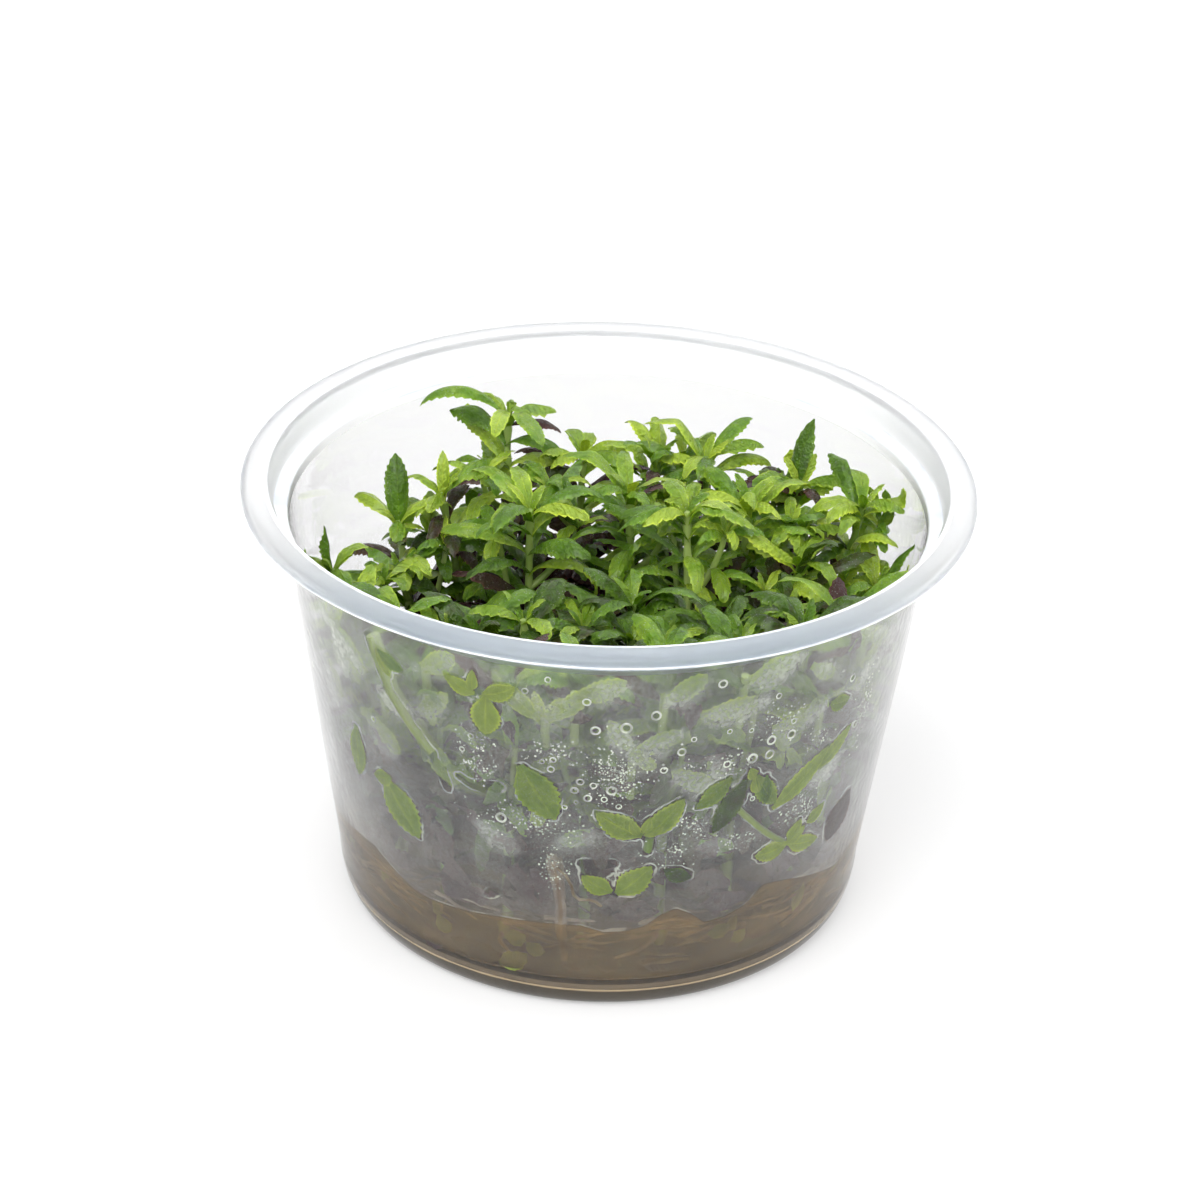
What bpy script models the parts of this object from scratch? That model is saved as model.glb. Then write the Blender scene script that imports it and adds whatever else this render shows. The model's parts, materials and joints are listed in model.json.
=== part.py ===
"""Tissue-cultured stem plants in their lidless tub.

A thin round tub with a rolled rim holds a slab of agar gel. Rooted shoots stand in the gel and fill
the tub to just below its rim, each with whorls of three serrated leaves. Where a leaf meets the wall
it slides along it and lies flat against it.

All sizes below are in millimetres; MM turns them into metres when a mesh is made.
"""
import math
import random

import bmesh
import bpy
from mathutils import Matrix, Vector
from mathutils.bvhtree import BVHTree

MM = 0.001
GAP = 0.3

# Tub
SEGMENTS = 60
HEIGHT = 63.4
RIM_RADIUS = 50.5
RIM_FLAT_INNER = 46.8
RIM_FLAT_OUTER = 48.6
SKIRT_DEPTH = 1.6
WALL = 0.7
WALL_LOW_Z = 6.8
WALL_LOW_RADIUS = 37.5
WALL_HIGH_Z = 58.4
WALL_HIGH_RADIUS = 44.75
LEDGE_Z = 58.9
LEDGE_OUTER_RADIUS = 45.6
FOOT_OUTER = 34.9
FOOT_INNER = 33.5
FLOOR_Z = 4.4
UNDERSIDE_Z = 3.6
FLOOR_CORNER = 1.85

# Agar gel
GEL_TOP = 12.5
MENISCUS = 1.4
MENISCUS_WIDTH = 2.2
POCKET_DEPTH = 4.0
POCKET_RADIUS = 1.4

# Shoots
STEM_RADIUS = 0.8
STEM_TIP_RADIUS = 0.45
NODE_HEIGHT = 0.9
LEAF_THICKNESS = 0.45
LEAF_LENGTH = 12.0
LEAF_WIDTH = 3.9
LEAVES_PER_WHORL = 3
WHORL_HEIGHTS = (0.38, 0.62, 0.82, 0.97)
LEAF_STEPS = 20
LEAF_STATIONS = ((0.35, 1.0), (0.7, 0.8), (1.0, 0.18))
CANOPY_TOP = 57.8
LEAF_LOWEST = 16.0
WALL_CLEARANCE = 0.75
WALL_SLIDE = 0.4
SEED = 11

# Each main shoot: name, foot x and y, tip x, y and z, azimuth of the first leaf of its top whorl,
# leaf length and leaf width
MAIN_SHOOTS = (
    ("tall_back_left", (-15, 27), (-15, 32, 55.5), 185, 13.0, 4.4),
    ("back_left", (-4, 29), (-4, 31, 50), 80, 11.0, 3.6),
    ("back", (6, 26), (7, 30, 50), 110, 11.0, 3.4),
    ("back_right", (15, 24), (14, 27, 52), 40, 12.0, 3.8),
    ("red_back_right", (25, 22), (28, 27, 48), 55, 12.0, 4.4),
    ("right_curled", (32, 10), (36, 12, 53), 115, 11.0, 4.0),
    ("far_right", (34, 0), (38, 3, 45), 35, 10.0, 3.4),
    ("right", (26, 4), (27, 3, 48), 300, 12.0, 4.2),
    ("centre_right", (19, 13), (20, 12, 52), 20, 12.0, 3.8),
    ("centre_front", (12, 3), (11, 4, 55), 215, 12.0, 3.6),
    ("centre", (4, 16), (3, 15, 52), 160, 12.0, 3.8),
    ("centre_left", (-11, 10), (-11, 9, 52), 250, 13.0, 4.4),
    ("thin_left", (-20, 17), (-24, 19, 49), 95, 10.0, 3.4),
    ("left_upright", (-27, 10), (-30, 14, 47), 100, 11.0, 4.2),
    ("far_left", (-33, -1), (-38, -1, 47), 170, 9.0, 3.0),
    ("far_left_low", (-31, -10), (-35, -9, 45), 60, 9.0, 3.6),
    ("front_left_broad", (-9, -17), (-11, -17, 49), 290, 13.0, 6.0),
    ("front_centre", (3, -11), (4, -13, 50), 210, 13.0, 4.4),
)
# Leaves that stand out of the canopy: whorl and slot, then elevation and droop in degrees, length, width
SPECIAL_LEAVES = {
    ("tall_back_left", 3, 0): (80, 126, 15.5, 4.4),
    ("tall_back_left", 3, 2): (35, 60, 9.0, 3.4),
    ("red_back_right", 3, 0): (78, 14, 11.5, 4.6),
    ("right_curled", 3, 0): (58, 36, 12.5, 3.4),
    ("right_curled", 3, 2): (62, 95, 8.5, 4.2),
    ("far_right", 3, 0): (78, 6, 8.0, 2.6),
    ("left_upright", 3, 0): (84, 8, 11.0, 4.4),
    ("thin_left", 3, 0): (84, 6, 7.5, 2.4),
    ("far_left", 3, 0): (80, -10, 8.5, 2.6),
    ("front_left_broad", 3, 0): (18, 40, 14.0, 6.4),
}
ARCHING_SHOOT = "tall_back_left"
ARCH_TOP = 60.5

# Rings of plainer shoots that fill the front: name, radius, first and last azimuth, count, tip height
FILL_RINGS = (
    ("front_wall", 33.0, 214, 338, 8, 51),
    ("front_inner", 22.5, 228, 318, 4, 46),
    ("hollow", 6.0, 150, 240, 2, 37),
)


def wall_outer_radius(z):
    """Outer radius of the straight tapered wall at height z."""
    share = (z - WALL_LOW_Z) / (WALL_HIGH_Z - WALL_LOW_Z)
    return WALL_LOW_RADIUS + (WALL_HIGH_RADIUS - WALL_LOW_RADIUS) * share


def leaf_limit_radius(z):
    """Largest radius that the middle of a leaf may reach at height z."""
    return wall_outer_radius(z) - WALL - WALL_CLEARANCE


def arc(centre_r, centre_z, radius_r, radius_z, start, end, steps):
    """Points of an elliptical arc in the tub's section, angles in degrees from +r towards +z."""
    points = []
    for step in range(steps + 1):
        angle = math.radians(start + (end - start) * step / steps)
        points.append((centre_r + radius_r * math.cos(angle), centre_z + radius_z * math.sin(angle)))
    return points


def turned(profile, name, ripple=None):
    """Solid of revolution whose open profile starts and ends on the axis; ripple lifts its points."""
    mesh = bmesh.new()
    rings = []
    for radius, height in profile:
        if radius == 0.0:
            rings.append([mesh.verts.new((0.0, 0.0, height * MM))])
            continue
        ring = []
        for segment in range(SEGMENTS):
            angle = math.tau * segment / SEGMENTS
            lift = ripple(radius, height, angle) if ripple else 0.0
            place = (radius * math.cos(angle), radius * math.sin(angle), height + lift)
            ring.append(mesh.verts.new(Vector(place) * MM))
        rings.append(ring)
    for low, high in zip(rings, rings[1:]):
        for segment in range(SEGMENTS):
            after = (segment + 1) % SEGMENTS
            if len(low) == 1:
                mesh.faces.new((low[0], high[after], high[segment]))
            elif len(high) == 1:
                mesh.faces.new((low[segment], low[after], high[0]))
            else:
                mesh.faces.new((low[segment], low[after], high[after], high[segment]))
    return finish(mesh, name)


def finish(mesh, name, smooth=True):
    """Put a bmesh into a new object of that name, with its faces pointing outwards."""
    bmesh.ops.recalc_face_normals(mesh, faces=mesh.faces)
    data = bpy.data.meshes.new(name)
    mesh.to_mesh(data)
    mesh.free()
    if smooth:
        data.shade_smooth()
        data.set_sharp_from_angle(angle=math.radians(35))
    thing = bpy.data.objects.new(name, data)
    bpy.context.collection.objects.link(thing)
    return thing


def material(name, colour, roughness, transmission=0.0, ior=1.45):
    """Principled material with no metal in it."""
    made = bpy.data.materials.new(name)
    made.use_nodes = True
    shader = made.node_tree.nodes["Principled BSDF"]
    shader.inputs["Base Color"].default_value = (*colour, 1.0)
    shader.inputs["Roughness"].default_value = roughness
    shader.inputs["Metallic"].default_value = 0.0
    shader.inputs["Transmission Weight"].default_value = transmission
    shader.inputs["IOR"].default_value = ior
    return made


def tub_profile():
    """Section of the tub from the middle of its underside, round the rim, to the middle of its floor."""
    foot = arc(FOOT_INNER, UNDERSIDE_Z - 0.6, 2.4, UNDERSIDE_Z - 0.6, 0, -90, 3)
    corner = arc(FOOT_OUTER, WALL_LOW_Z, WALL_LOW_RADIUS - FOOT_OUTER, WALL_LOW_Z, -90, 0, 4)
    skirt_z = HEIGHT - SKIRT_DEPTH
    step = [(WALL_HIGH_RADIUS, WALL_HIGH_Z), (LEDGE_OUTER_RADIUS + 0.6, LEDGE_Z + 0.5)]
    flange = [(46.7, skirt_z + 0.4), (48.9, skirt_z + 0.6), (49.7, skirt_z), (RIM_RADIUS, skirt_z)]
    shoulder = arc(RIM_FLAT_OUTER + 0.2, HEIGHT - 1.0, 1.7, 1.0, 0, 90, 3)
    top = [(RIM_FLAT_INNER, HEIGHT), (RIM_FLAT_INNER - 0.5, HEIGHT - 0.5)]
    ledge = [(LEDGE_OUTER_RADIUS, LEDGE_Z + 0.4), (wall_outer_radius(LEDGE_Z) - WALL, LEDGE_Z - 0.1)]
    inner_corner_z = FLOOR_Z + FLOOR_CORNER
    inner_radius = wall_outer_radius(inner_corner_z) - WALL
    floor = arc(inner_radius - FLOOR_CORNER, inner_corner_z, FLOOR_CORNER, FLOOR_CORNER, 0, -90, 3)
    return [(0.0, UNDERSIDE_Z), (35.3, UNDERSIDE_Z), *foot, *corner, *step, *flange, *shoulder,
            *top, *ledge, *floor, (0.0, FLOOR_Z)]


def build_tub():
    """The thin tub with its foot ring, tapered wall, lid ledge and rolled rim."""
    tub = turned(tub_profile(), "cup")
    tub.data.materials.append(material("clear_polypropylene", (0.86, 0.89, 0.9), 0.25, 0.9, 1.49))
    return tub


def gel_ripple(radius, height, angle):
    """Uneven creep of the gel up the wall; only its upper edge is rippled."""
    if height <= GEL_TOP or radius < leaf_limit_radius(GEL_TOP) - MENISCUS_WIDTH:
        return 0.0
    return 0.7 * math.sin(3 * angle + 0.6) + 0.45 * math.sin(7 * angle + 2.0)


def gel_profile():
    """Section of the gel slab, a gap clear of the tub all round."""
    bottom = FLOOR_Z + GAP
    corner_z = FLOOR_Z + FLOOR_CORNER
    corner_radius = wall_outer_radius(corner_z) - WALL - FLOOR_CORNER
    size = FLOOR_CORNER - GAP
    edge_z = GEL_TOP + MENISCUS
    edge_radius = wall_outer_radius(edge_z) - WALL - GAP
    return [(0.0, bottom), *arc(corner_radius, corner_z, size, size, -90, 0, 3),
            (edge_radius, edge_z), (edge_radius - 0.5, edge_z - 0.1),
            (edge_radius - MENISCUS_WIDTH, GEL_TOP), (0.0, GEL_TOP)]


def build_gel(shoots):
    """The gel slab, with a pocket for the foot of every shoot."""
    gel = turned(gel_profile(), "agar_gel", gel_ripple)
    for face in gel.data.polygons:
        face.use_smooth = abs(face.normal.z) < 0.9
    gel.data.materials.append(material("agar", (0.36, 0.27, 0.16), 0.15, 0.7, 1.34))
    pockets = bmesh.new()
    depth = POCKET_DEPTH + 2.0
    for shoot in shoots:
        x, y = shoot["foot"]
        middle = Vector((x, y, GEL_TOP - POCKET_DEPTH + depth / 2)) * MM
        bmesh.ops.create_cone(pockets, cap_ends=True, segments=6, radius1=POCKET_RADIUS * MM,
                              radius2=POCKET_RADIUS * MM, depth=depth * MM,
                              matrix=Matrix.Translation(middle))
    cutter = finish(pockets, "foot_pockets", smooth=False)
    cutter.hide_render = True
    cutter.display_type = "WIRE"
    cut = gel.modifiers.new("pockets", "BOOLEAN")
    cut.operation = "DIFFERENCE"
    cut.object = cutter
    return gel


def stem_point(shoot, share):
    """Place on a stem's middle line: it leaves the gel upright and bends towards its tip."""
    x, y = shoot["foot"]
    start = Vector((x, y, GEL_TOP + 0.6))
    tip = Vector(shoot["tip"])
    bend = Vector((x, y, start.z + 0.55 * (tip.z - start.z)))
    return start.lerp(bend, share).lerp(bend.lerp(tip, share), share)


def stem_frame(shoot, share):
    """Middle point, direction and two cross directions of a stem at a share of its length."""
    middle = stem_point(shoot, share)
    before, after = max(share - 0.02, 0.0), min(share + 0.02, 1.0)
    along = (stem_point(shoot, after) - stem_point(shoot, before)).normalized()
    across = (Vector((1.0, 0.0, 0.0)) - along * along.x).normalized()
    return middle, along, across, along.cross(across)


def stem_ring(shoot, share, radius):
    """Six points round a stem; the face between points k and k + 1 carries leaf azimuth k x 60."""
    middle, _, across, beside = stem_frame(shoot, share)
    ring = []
    for corner in range(6):
        angle = math.radians(shoot["turn"] + 60 * corner - 30)
        ring.append(middle + (across * math.cos(angle) + beside * math.sin(angle)) * radius)
    return ring


def stem_rings(shoot):
    """All rings of a stem from the bottom of its pocket to its tip, and the ring below each whorl."""
    length = (stem_point(shoot, 1.0) - stem_point(shoot, 0.0)).length
    half_node = 0.5 * NODE_HEIGHT / length
    x, y = shoot["foot"]
    sunk = Vector((x, y, GEL_TOP - POCKET_DEPTH + GAP)) - stem_point(shoot, 0.0)
    rings = [[point + sunk for point in stem_ring(shoot, 0.0, STEM_RADIUS)]]
    rings.append(stem_ring(shoot, 0.0, STEM_RADIUS))
    rings.append(stem_ring(shoot, 0.5 * WHORL_HEIGHTS[0], stem_radius(0.5 * WHORL_HEIGHTS[0])))
    whorl_rings = []
    for height in WHORL_HEIGHTS:
        whorl_rings.append(len(rings))
        rings.append(stem_ring(shoot, height - half_node, stem_radius(height)))
        rings.append(stem_ring(shoot, height + half_node, stem_radius(height)))
    rings.append(stem_ring(shoot, 1.0 + 2.5 * half_node, 0.5 * STEM_TIP_RADIUS))
    return rings, whorl_rings


def stem_radius(share):
    """Stems thin towards their tips."""
    return STEM_RADIUS + (STEM_TIP_RADIUS - STEM_RADIUS) * share


def leaf_line(leaf):
    """Middle line of a leaf: points with their forward and sideways directions.

    The leaf starts at its elevation, droops and yaws along its length, and slides along the wall, the
    lid plane and the gel where it meets them.
    """
    place = leaf["base"].copy()
    step = leaf["length"] / LEAF_STEPS
    pressed = 0.0
    line = []
    for index in range(LEAF_STEPS + 1):
        share = index / LEAF_STEPS
        azimuth = math.radians(leaf["azimuth"] + leaf["yaw"] * share)
        rise = math.radians(leaf["elevation"] - leaf["droop"] * share)
        out = Vector((math.cos(azimuth), math.sin(azimuth), 0.0))
        ahead = out * math.cos(rise) + Vector((0.0, 0.0, math.sin(rise)))
        side = Vector((-math.sin(azimuth), math.cos(azimuth), 0.0))
        side.rotate(Matrix.Rotation(math.radians(leaf["twist"] * share), 3, ahead))
        if line:
            radial = Vector((place.x, place.y, 0.0)).normalized()
            along_wall = ahead - radial * ahead.dot(radial)
            along_wall.z += math.copysign(WALL_SLIDE, ahead.z - 0.1)
            target = place + ahead.lerp(along_wall.normalized(), pressed).normalized() * step
            limit = leaf_limit_radius(target.z)
            reach = math.hypot(target.x, target.y)
            if reach > limit:
                target.x *= limit / reach
                target.y *= limit / reach
            pressed = min(1.0, pressed + 0.25) if reach > limit - 0.3 else max(0.0, pressed - 0.25)
            if not LEAF_LOWEST < target.z < leaf["top"]:
                level = Vector((target.x - place.x, target.y - place.y, 0.0)).normalized()
                target = place + level * step
                target.z = min(max(target.z, LEAF_LOWEST), leaf["top"])
            ahead = (target - place).normalized()
            place = target
        if pressed > 0.0:
            radial = Vector((place.x, place.y, 0.0)).normalized()
            flat = radial.cross(ahead).normalized()
            flat = flat if flat.dot(line[-1][2]) >= 0.0 else -flat
            side = side.lerp(flat, pressed).normalized()
        line.append((place.copy(), ahead, side))
    return line


def leaf_loop(line, share, width, margin=0.0):
    """Four corners of a leaf's section at a share of its length, anticlockwise seen from its tip."""
    place, ahead, side = line[round(share * LEAF_STEPS)]
    normal = ahead.cross(side).normalized()
    wide = side * (0.5 * width + margin)
    thick = normal * (0.5 * LEAF_THICKNESS + margin)
    return [place - wide - thick, place + wide - thick, place + wide + thick, place - wide + thick]


def loops_tree(loops):
    """Search tree of the closed tube through a list of four-cornered or six-cornered loops."""
    points = [point for loop in loops for point in loop]
    around = len(loops[0])
    faces = [tuple(range(around)), tuple(range(len(points) - around, len(points)))]
    for ring in range(len(loops) - 1):
        for corner in range(around):
            low = ring * around + corner
            low_next = ring * around + (corner + 1) % around
            faces.append((low, low_next, low_next + around, low + around))
    return BVHTree.FromPolygons(points, faces)


def bounds(points, margin=0.0):
    """Lowest and highest corner round some points."""
    low = [min(point[axis] for point in points) - margin for axis in range(3)]
    high = [max(point[axis] for point in points) + margin for axis in range(3)]
    return low, high


def apart(first, second):
    """Whether two boxes have no point in common."""
    return any(first[0][axis] > second[1][axis] or second[0][axis] > first[1][axis] for axis in range(3))


class Thicket:
    """Everything placed so far, so that a new stem or leaf can be tested for room."""

    def __init__(self):
        self.placed = []

    def add(self, loops, stem_of=None):
        box = bounds([point for loop in loops for point in loop])
        self.placed.append((box, loops_tree(loops), stem_of))

    def is_free(self, loops, own_stem):
        box = bounds([point for loop in loops for point in loop])
        whole = None
        for other_box, other_tree, stem_of in self.placed:
            if apart(box, other_box):
                continue
            if stem_of == own_stem:
                if loops_tree(loops[1:]).overlap(other_tree):
                    return False
                continue
            whole = whole or loops_tree(loops)
            if whole.overlap(other_tree):
                return False
        return True


def leaf_loops(leaf):
    """Loops of a leaf's solid beyond its base face."""
    line = leaf_line(leaf)
    return [leaf_loop(line, share, leaf["width"] * wide) for share, wide in LEAF_STATIONS]


def leaf_room(leaf, margin):
    """Loops of a whole leaf grown by a margin, for testing whether it has room."""
    line = leaf_line(leaf)
    loops = [leaf_loop(line, 0.05, STEM_RADIUS, margin)]
    loops += [leaf_loop(line, share, leaf["width"] * wide, margin) for share, wide in LEAF_STATIONS]
    loops[-1] = [point + line[-1][1] * margin for point in loops[-1]]
    return loops


def plan_shoots(dice):
    """Foot, tip, turn and leaf sizes of every shoot, the main ones first."""
    shoots = []
    for name, foot, tip, azimuth, length, width in MAIN_SHOOTS:
        shoots.append({"name": name, "foot": foot, "tip": tip, "azimuth": azimuth,
                       "length": length, "width": width})
    for name, radius, first, last, count, height in FILL_RINGS:
        for index in range(count):
            angle = math.radians(first + (last - first) * index / (count - 1))
            reach = radius + dice.uniform(-1.0, 1.0)
            foot = (reach * math.cos(angle), reach * math.sin(angle))
            lean = dice.uniform(1.03, 1.1)
            tip = (foot[0] * lean + dice.uniform(-2, 2), foot[1] * lean + dice.uniform(-2, 2),
                   height + dice.uniform(-4, 3))
            outward = math.degrees(angle) + 60 * ((len(WHORL_HEIGHTS) - 1) % 2)
            shoots.append({"name": f"{name}_{index + 1}", "foot": foot, "tip": tip,
                           "azimuth": outward + dice.uniform(-15, 15),
                           "length": LEAF_LENGTH * dice.uniform(0.8, 1.05),
                           "width": LEAF_WIDTH * dice.uniform(0.85, 1.2)})
    for shoot in shoots:
        shoot["turn"] = shoot["azimuth"] - 60 * ((len(WHORL_HEIGHTS) - 1) % 2)
    return shoots


def first_leaf(shoot, whorl, slot, dice):
    """The leaf that a slot would hold with nothing in its way: low ones spread, high ones stand up."""
    share = whorl / (len(WHORL_HEIGHTS) - 1)
    middle, _, across, beside = stem_frame(shoot, WHORL_HEIGHTS[whorl])
    azimuth = shoot["turn"] + 60 * (whorl % 2) + 120 * slot
    angle = math.radians(azimuth)
    out = across * math.cos(angle) + beside * math.sin(angle)
    leaf = {"base": middle + out * stem_radius(WHORL_HEIGHTS[whorl]) * math.cos(math.radians(30)),
            "azimuth": azimuth, "top": CANOPY_TOP, "shoot": shoot["name"],
            "elevation": 24 + 36 * share + dice.uniform(-10, 10),
            "droop": 52 - 14 * share + dice.uniform(-22, 22),
            "length": shoot["length"] * (1.0 - 0.2 * share * share) * dice.uniform(0.85, 1.1),
            "width": shoot["width"] * (1.0 - 0.15 * share) * dice.uniform(0.9, 1.1),
            "yaw": dice.uniform(-25, 25), "twist": dice.uniform(-30, 30)}
    special = SPECIAL_LEAVES.get((shoot["name"], whorl, slot))
    if special:
        leaf["elevation"], leaf["droop"], leaf["length"], leaf["width"] = special
        leaf["yaw"] = 0.0
        leaf["twist"] = 0.0
        leaf["top"] = ARCH_TOP if shoot["name"] == ARCHING_SHOOT and slot == 0 else CANOPY_TOP
    return leaf


def inside_tub(loops):
    """Whether every point of some loops stays a gap clear of the wall."""
    return all(math.hypot(point.x, point.y) < wall_outer_radius(point.z) - WALL - GAP
               for loop in loops for point in loop)


def fitted_leaf(leaf, thicket, dice):
    """The first leaf near the wanted one that touches nothing, or None."""
    for attempt in range(14):
        wanted = dict(leaf)
        if attempt:
            spread = min(attempt, 8) / 8
            wanted["yaw"] = leaf["yaw"] + spread * dice.uniform(-45, 45)
            wanted["elevation"] = leaf["elevation"] + spread * dice.uniform(-20, 28)
            wanted["twist"] = leaf["twist"] + spread * dice.uniform(-40, 40)
            wanted["length"] = leaf["length"] * (1.0 - 0.04 * attempt)
            wanted["width"] = leaf["width"] * (1.0 - 0.025 * attempt)
        if inside_tub(leaf_loops(wanted)) and thicket.is_free(leaf_room(wanted, GAP), leaf["shoot"]):
            return wanted
    return None


def grow(shoots, dice):
    """Give every shoot its leaves, the standing-out ones first, then the highest whorls downwards."""
    thicket = Thicket()
    for shoot in shoots:
        thicket.add(stem_rings(shoot)[0], shoot["name"])
        shoot["leaves"] = {}
    slots = []
    for whorl in reversed(range(len(WHORL_HEIGHTS))):
        for slot in range(LEAVES_PER_WHORL):
            for shoot in shoots:
                slots.append((shoot, whorl, slot))
    slots.sort(key=lambda place: (place[0]["name"], *place[1:]) not in SPECIAL_LEAVES)
    for shoot, whorl, slot in slots:
        leaf = fitted_leaf(first_leaf(shoot, whorl, slot, dice), thicket, dice)
        if leaf:
            shoot["leaves"][whorl, slot] = leaf
            thicket.add(leaf_room(leaf, 0.0))
    return shoots


def build_shoot(shoot, leaf_material):
    """One shoot as a single closed mesh: a six-sided stem whose side faces run out into leaves."""
    mesh = bmesh.new()
    rings, whorl_rings = stem_rings(shoot)
    stem = [[mesh.verts.new(point * MM) for point in ring] for ring in rings]
    mesh.faces.new(list(reversed(stem[0])))
    mesh.faces.new(stem[-1])
    bases = {}
    for (whorl, slot), leaf in shoot["leaves"].items():
        bases[whorl_rings[whorl], (2 * slot + whorl % 2) % 6] = leaf
    for index, (low, high) in enumerate(zip(stem, stem[1:])):
        for face in range(6):
            after = (face + 1) % 6
            loop = [low[face], low[after], high[after], high[face]]
            if (index, face) not in bases:
                mesh.faces.new(loop)
                continue
            for corners in leaf_loops(bases[index, face]):
                further = [mesh.verts.new(point * MM) for point in corners]
                for corner in range(4):
                    following = (corner + 1) % 4
                    mesh.faces.new((loop[corner], loop[following], further[following], further[corner]))
                loop = further
            mesh.faces.new(loop)
    thing = finish(mesh, f"shoot_{shoot['name']}")
    thing.data.materials.append(leaf_material)


def build():
    """Clear the file's objects and build the whole part."""
    for thing in list(bpy.data.objects):
        bpy.data.objects.remove(thing)
    dice = random.Random(SEED)
    shoots = grow(plan_shoots(dice), dice)
    build_tub()
    build_gel(shoots)
    for shoot in shoots:
        tone = dice.uniform(0.8, 1.15)
        colour = (0.12 * tone, 0.3 * tone, 0.04 * tone)
        build_shoot(shoot, material(f"leaf_green_{shoot['name']}", colour, 0.35))


build()
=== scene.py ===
"""Tissue-cultured stem plants in their lidless tub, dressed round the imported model.

The file is laid out as an add-on and run as a script. The plants' layout is the one that the solids
have, so every leaf of a solid has one here that grows from the same place. The layout is in
millimetres, and MM turns it into metres when a mesh is made.
"""
import json
import math
import random

import bmesh
import bpy
import numpy as np
from bpy.props import FloatProperty, FloatVectorProperty, IntProperty, PointerProperty
from mathutils import Matrix, Vector, noise
from mathutils.bvhtree import BVHTree
from mathutils.kdtree import KDTree

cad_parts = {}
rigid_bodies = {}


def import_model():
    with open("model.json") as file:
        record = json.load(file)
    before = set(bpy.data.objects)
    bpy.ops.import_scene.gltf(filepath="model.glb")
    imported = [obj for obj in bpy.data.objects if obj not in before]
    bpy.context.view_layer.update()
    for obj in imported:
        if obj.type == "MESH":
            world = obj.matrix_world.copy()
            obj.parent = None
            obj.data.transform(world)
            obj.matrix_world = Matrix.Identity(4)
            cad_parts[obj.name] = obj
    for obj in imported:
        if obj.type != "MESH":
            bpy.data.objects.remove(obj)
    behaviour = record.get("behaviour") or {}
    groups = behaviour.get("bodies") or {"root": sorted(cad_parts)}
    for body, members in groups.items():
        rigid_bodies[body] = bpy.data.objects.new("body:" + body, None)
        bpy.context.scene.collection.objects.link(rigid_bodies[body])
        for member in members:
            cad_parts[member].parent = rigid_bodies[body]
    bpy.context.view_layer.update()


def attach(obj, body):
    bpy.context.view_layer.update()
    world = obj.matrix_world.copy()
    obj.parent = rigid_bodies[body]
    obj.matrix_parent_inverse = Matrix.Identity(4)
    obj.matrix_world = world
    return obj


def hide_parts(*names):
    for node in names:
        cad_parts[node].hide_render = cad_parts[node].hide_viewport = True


bl_info = {
    "name": "Plant tub",
    "version": (1, 0, 0),
    "blender": (4, 5, 0),
    "location": "3D View > Sidebar > Plant tub",
    "description": "Tissue-cultured stem plants in agar gel in a clear tub",
    "category": "Object",
}

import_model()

# A millimetre in metres, and the gap between the solids in millimetres
MM = 0.001
GAP = 0.3

# Tub, as in the solids
HEIGHT = 63.4
RIM_RADIUS = 50.5
RIM_FLAT_INNER = 46.8
RIM_FLAT_OUTER = 48.6
SKIRT_DEPTH = 1.6
WALL = 0.7
WALL_LOW_Z = 6.8
WALL_LOW_RADIUS = 37.5
WALL_HIGH_Z = 58.4
WALL_HIGH_RADIUS = 44.75
LEDGE_Z = 58.9
LEDGE_OUTER_RADIUS = 45.6
FOOT_OUTER = 34.9
FOOT_INNER = 33.5
FLOOR_Z = 4.4
UNDERSIDE_Z = 3.6
FLOOR_CORNER = 1.85

# Plants and gel, as in the solids
GEL_TOP = 12.5
POCKET_DEPTH = 4.0
STEM_RADIUS = 0.8
STEM_TIP_RADIUS = 0.45
NODE_HEIGHT = 0.9
LEAF_THICKNESS = 0.45
LEAF_LENGTH = 12.0
LEAF_WIDTH = 3.9
LEAVES_PER_WHORL = 3
WHORL_HEIGHTS = (0.38, 0.62, 0.82, 0.97)
LEAF_STEPS = 20
LEAF_STATIONS = ((0.35, 1.0), (0.7, 0.8), (1.0, 0.18))
CANOPY_TOP = 57.8
LEAF_LOWEST = 16.0
WALL_CLEARANCE = 0.75
WALL_SLIDE = 0.4
SEED = 11

# Each main shoot: name, foot x and y, tip x, y and z, azimuth of the first leaf of its top whorl,
# leaf length and leaf width
MAIN_SHOOTS = (
    ("tall_back_left", (-15, 27), (-15, 32, 55.5), 185, 13.0, 4.4),
    ("back_left", (-4, 29), (-4, 31, 50), 80, 11.0, 3.6),
    ("back", (6, 26), (7, 30, 50), 110, 11.0, 3.4),
    ("back_right", (15, 24), (14, 27, 52), 40, 12.0, 3.8),
    ("red_back_right", (25, 22), (28, 27, 48), 55, 12.0, 4.4),
    ("right_curled", (32, 10), (36, 12, 53), 115, 11.0, 4.0),
    ("far_right", (34, 0), (38, 3, 45), 35, 10.0, 3.4),
    ("right", (26, 4), (27, 3, 48), 300, 12.0, 4.2),
    ("centre_right", (19, 13), (20, 12, 52), 20, 12.0, 3.8),
    ("centre_front", (12, 3), (11, 4, 55), 215, 12.0, 3.6),
    ("centre", (4, 16), (3, 15, 52), 160, 12.0, 3.8),
    ("centre_left", (-11, 10), (-11, 9, 52), 250, 13.0, 4.4),
    ("thin_left", (-20, 17), (-24, 19, 49), 95, 10.0, 3.4),
    ("left_upright", (-27, 10), (-30, 14, 47), 100, 11.0, 4.2),
    ("far_left", (-33, -1), (-38, -1, 47), 170, 9.0, 3.0),
    ("far_left_low", (-31, -10), (-35, -9, 45), 60, 9.0, 3.6),
    ("front_left_broad", (-9, -17), (-11, -17, 49), 290, 13.0, 6.0),
    ("front_centre", (3, -11), (4, -13, 50), 210, 13.0, 4.4),
)
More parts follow.
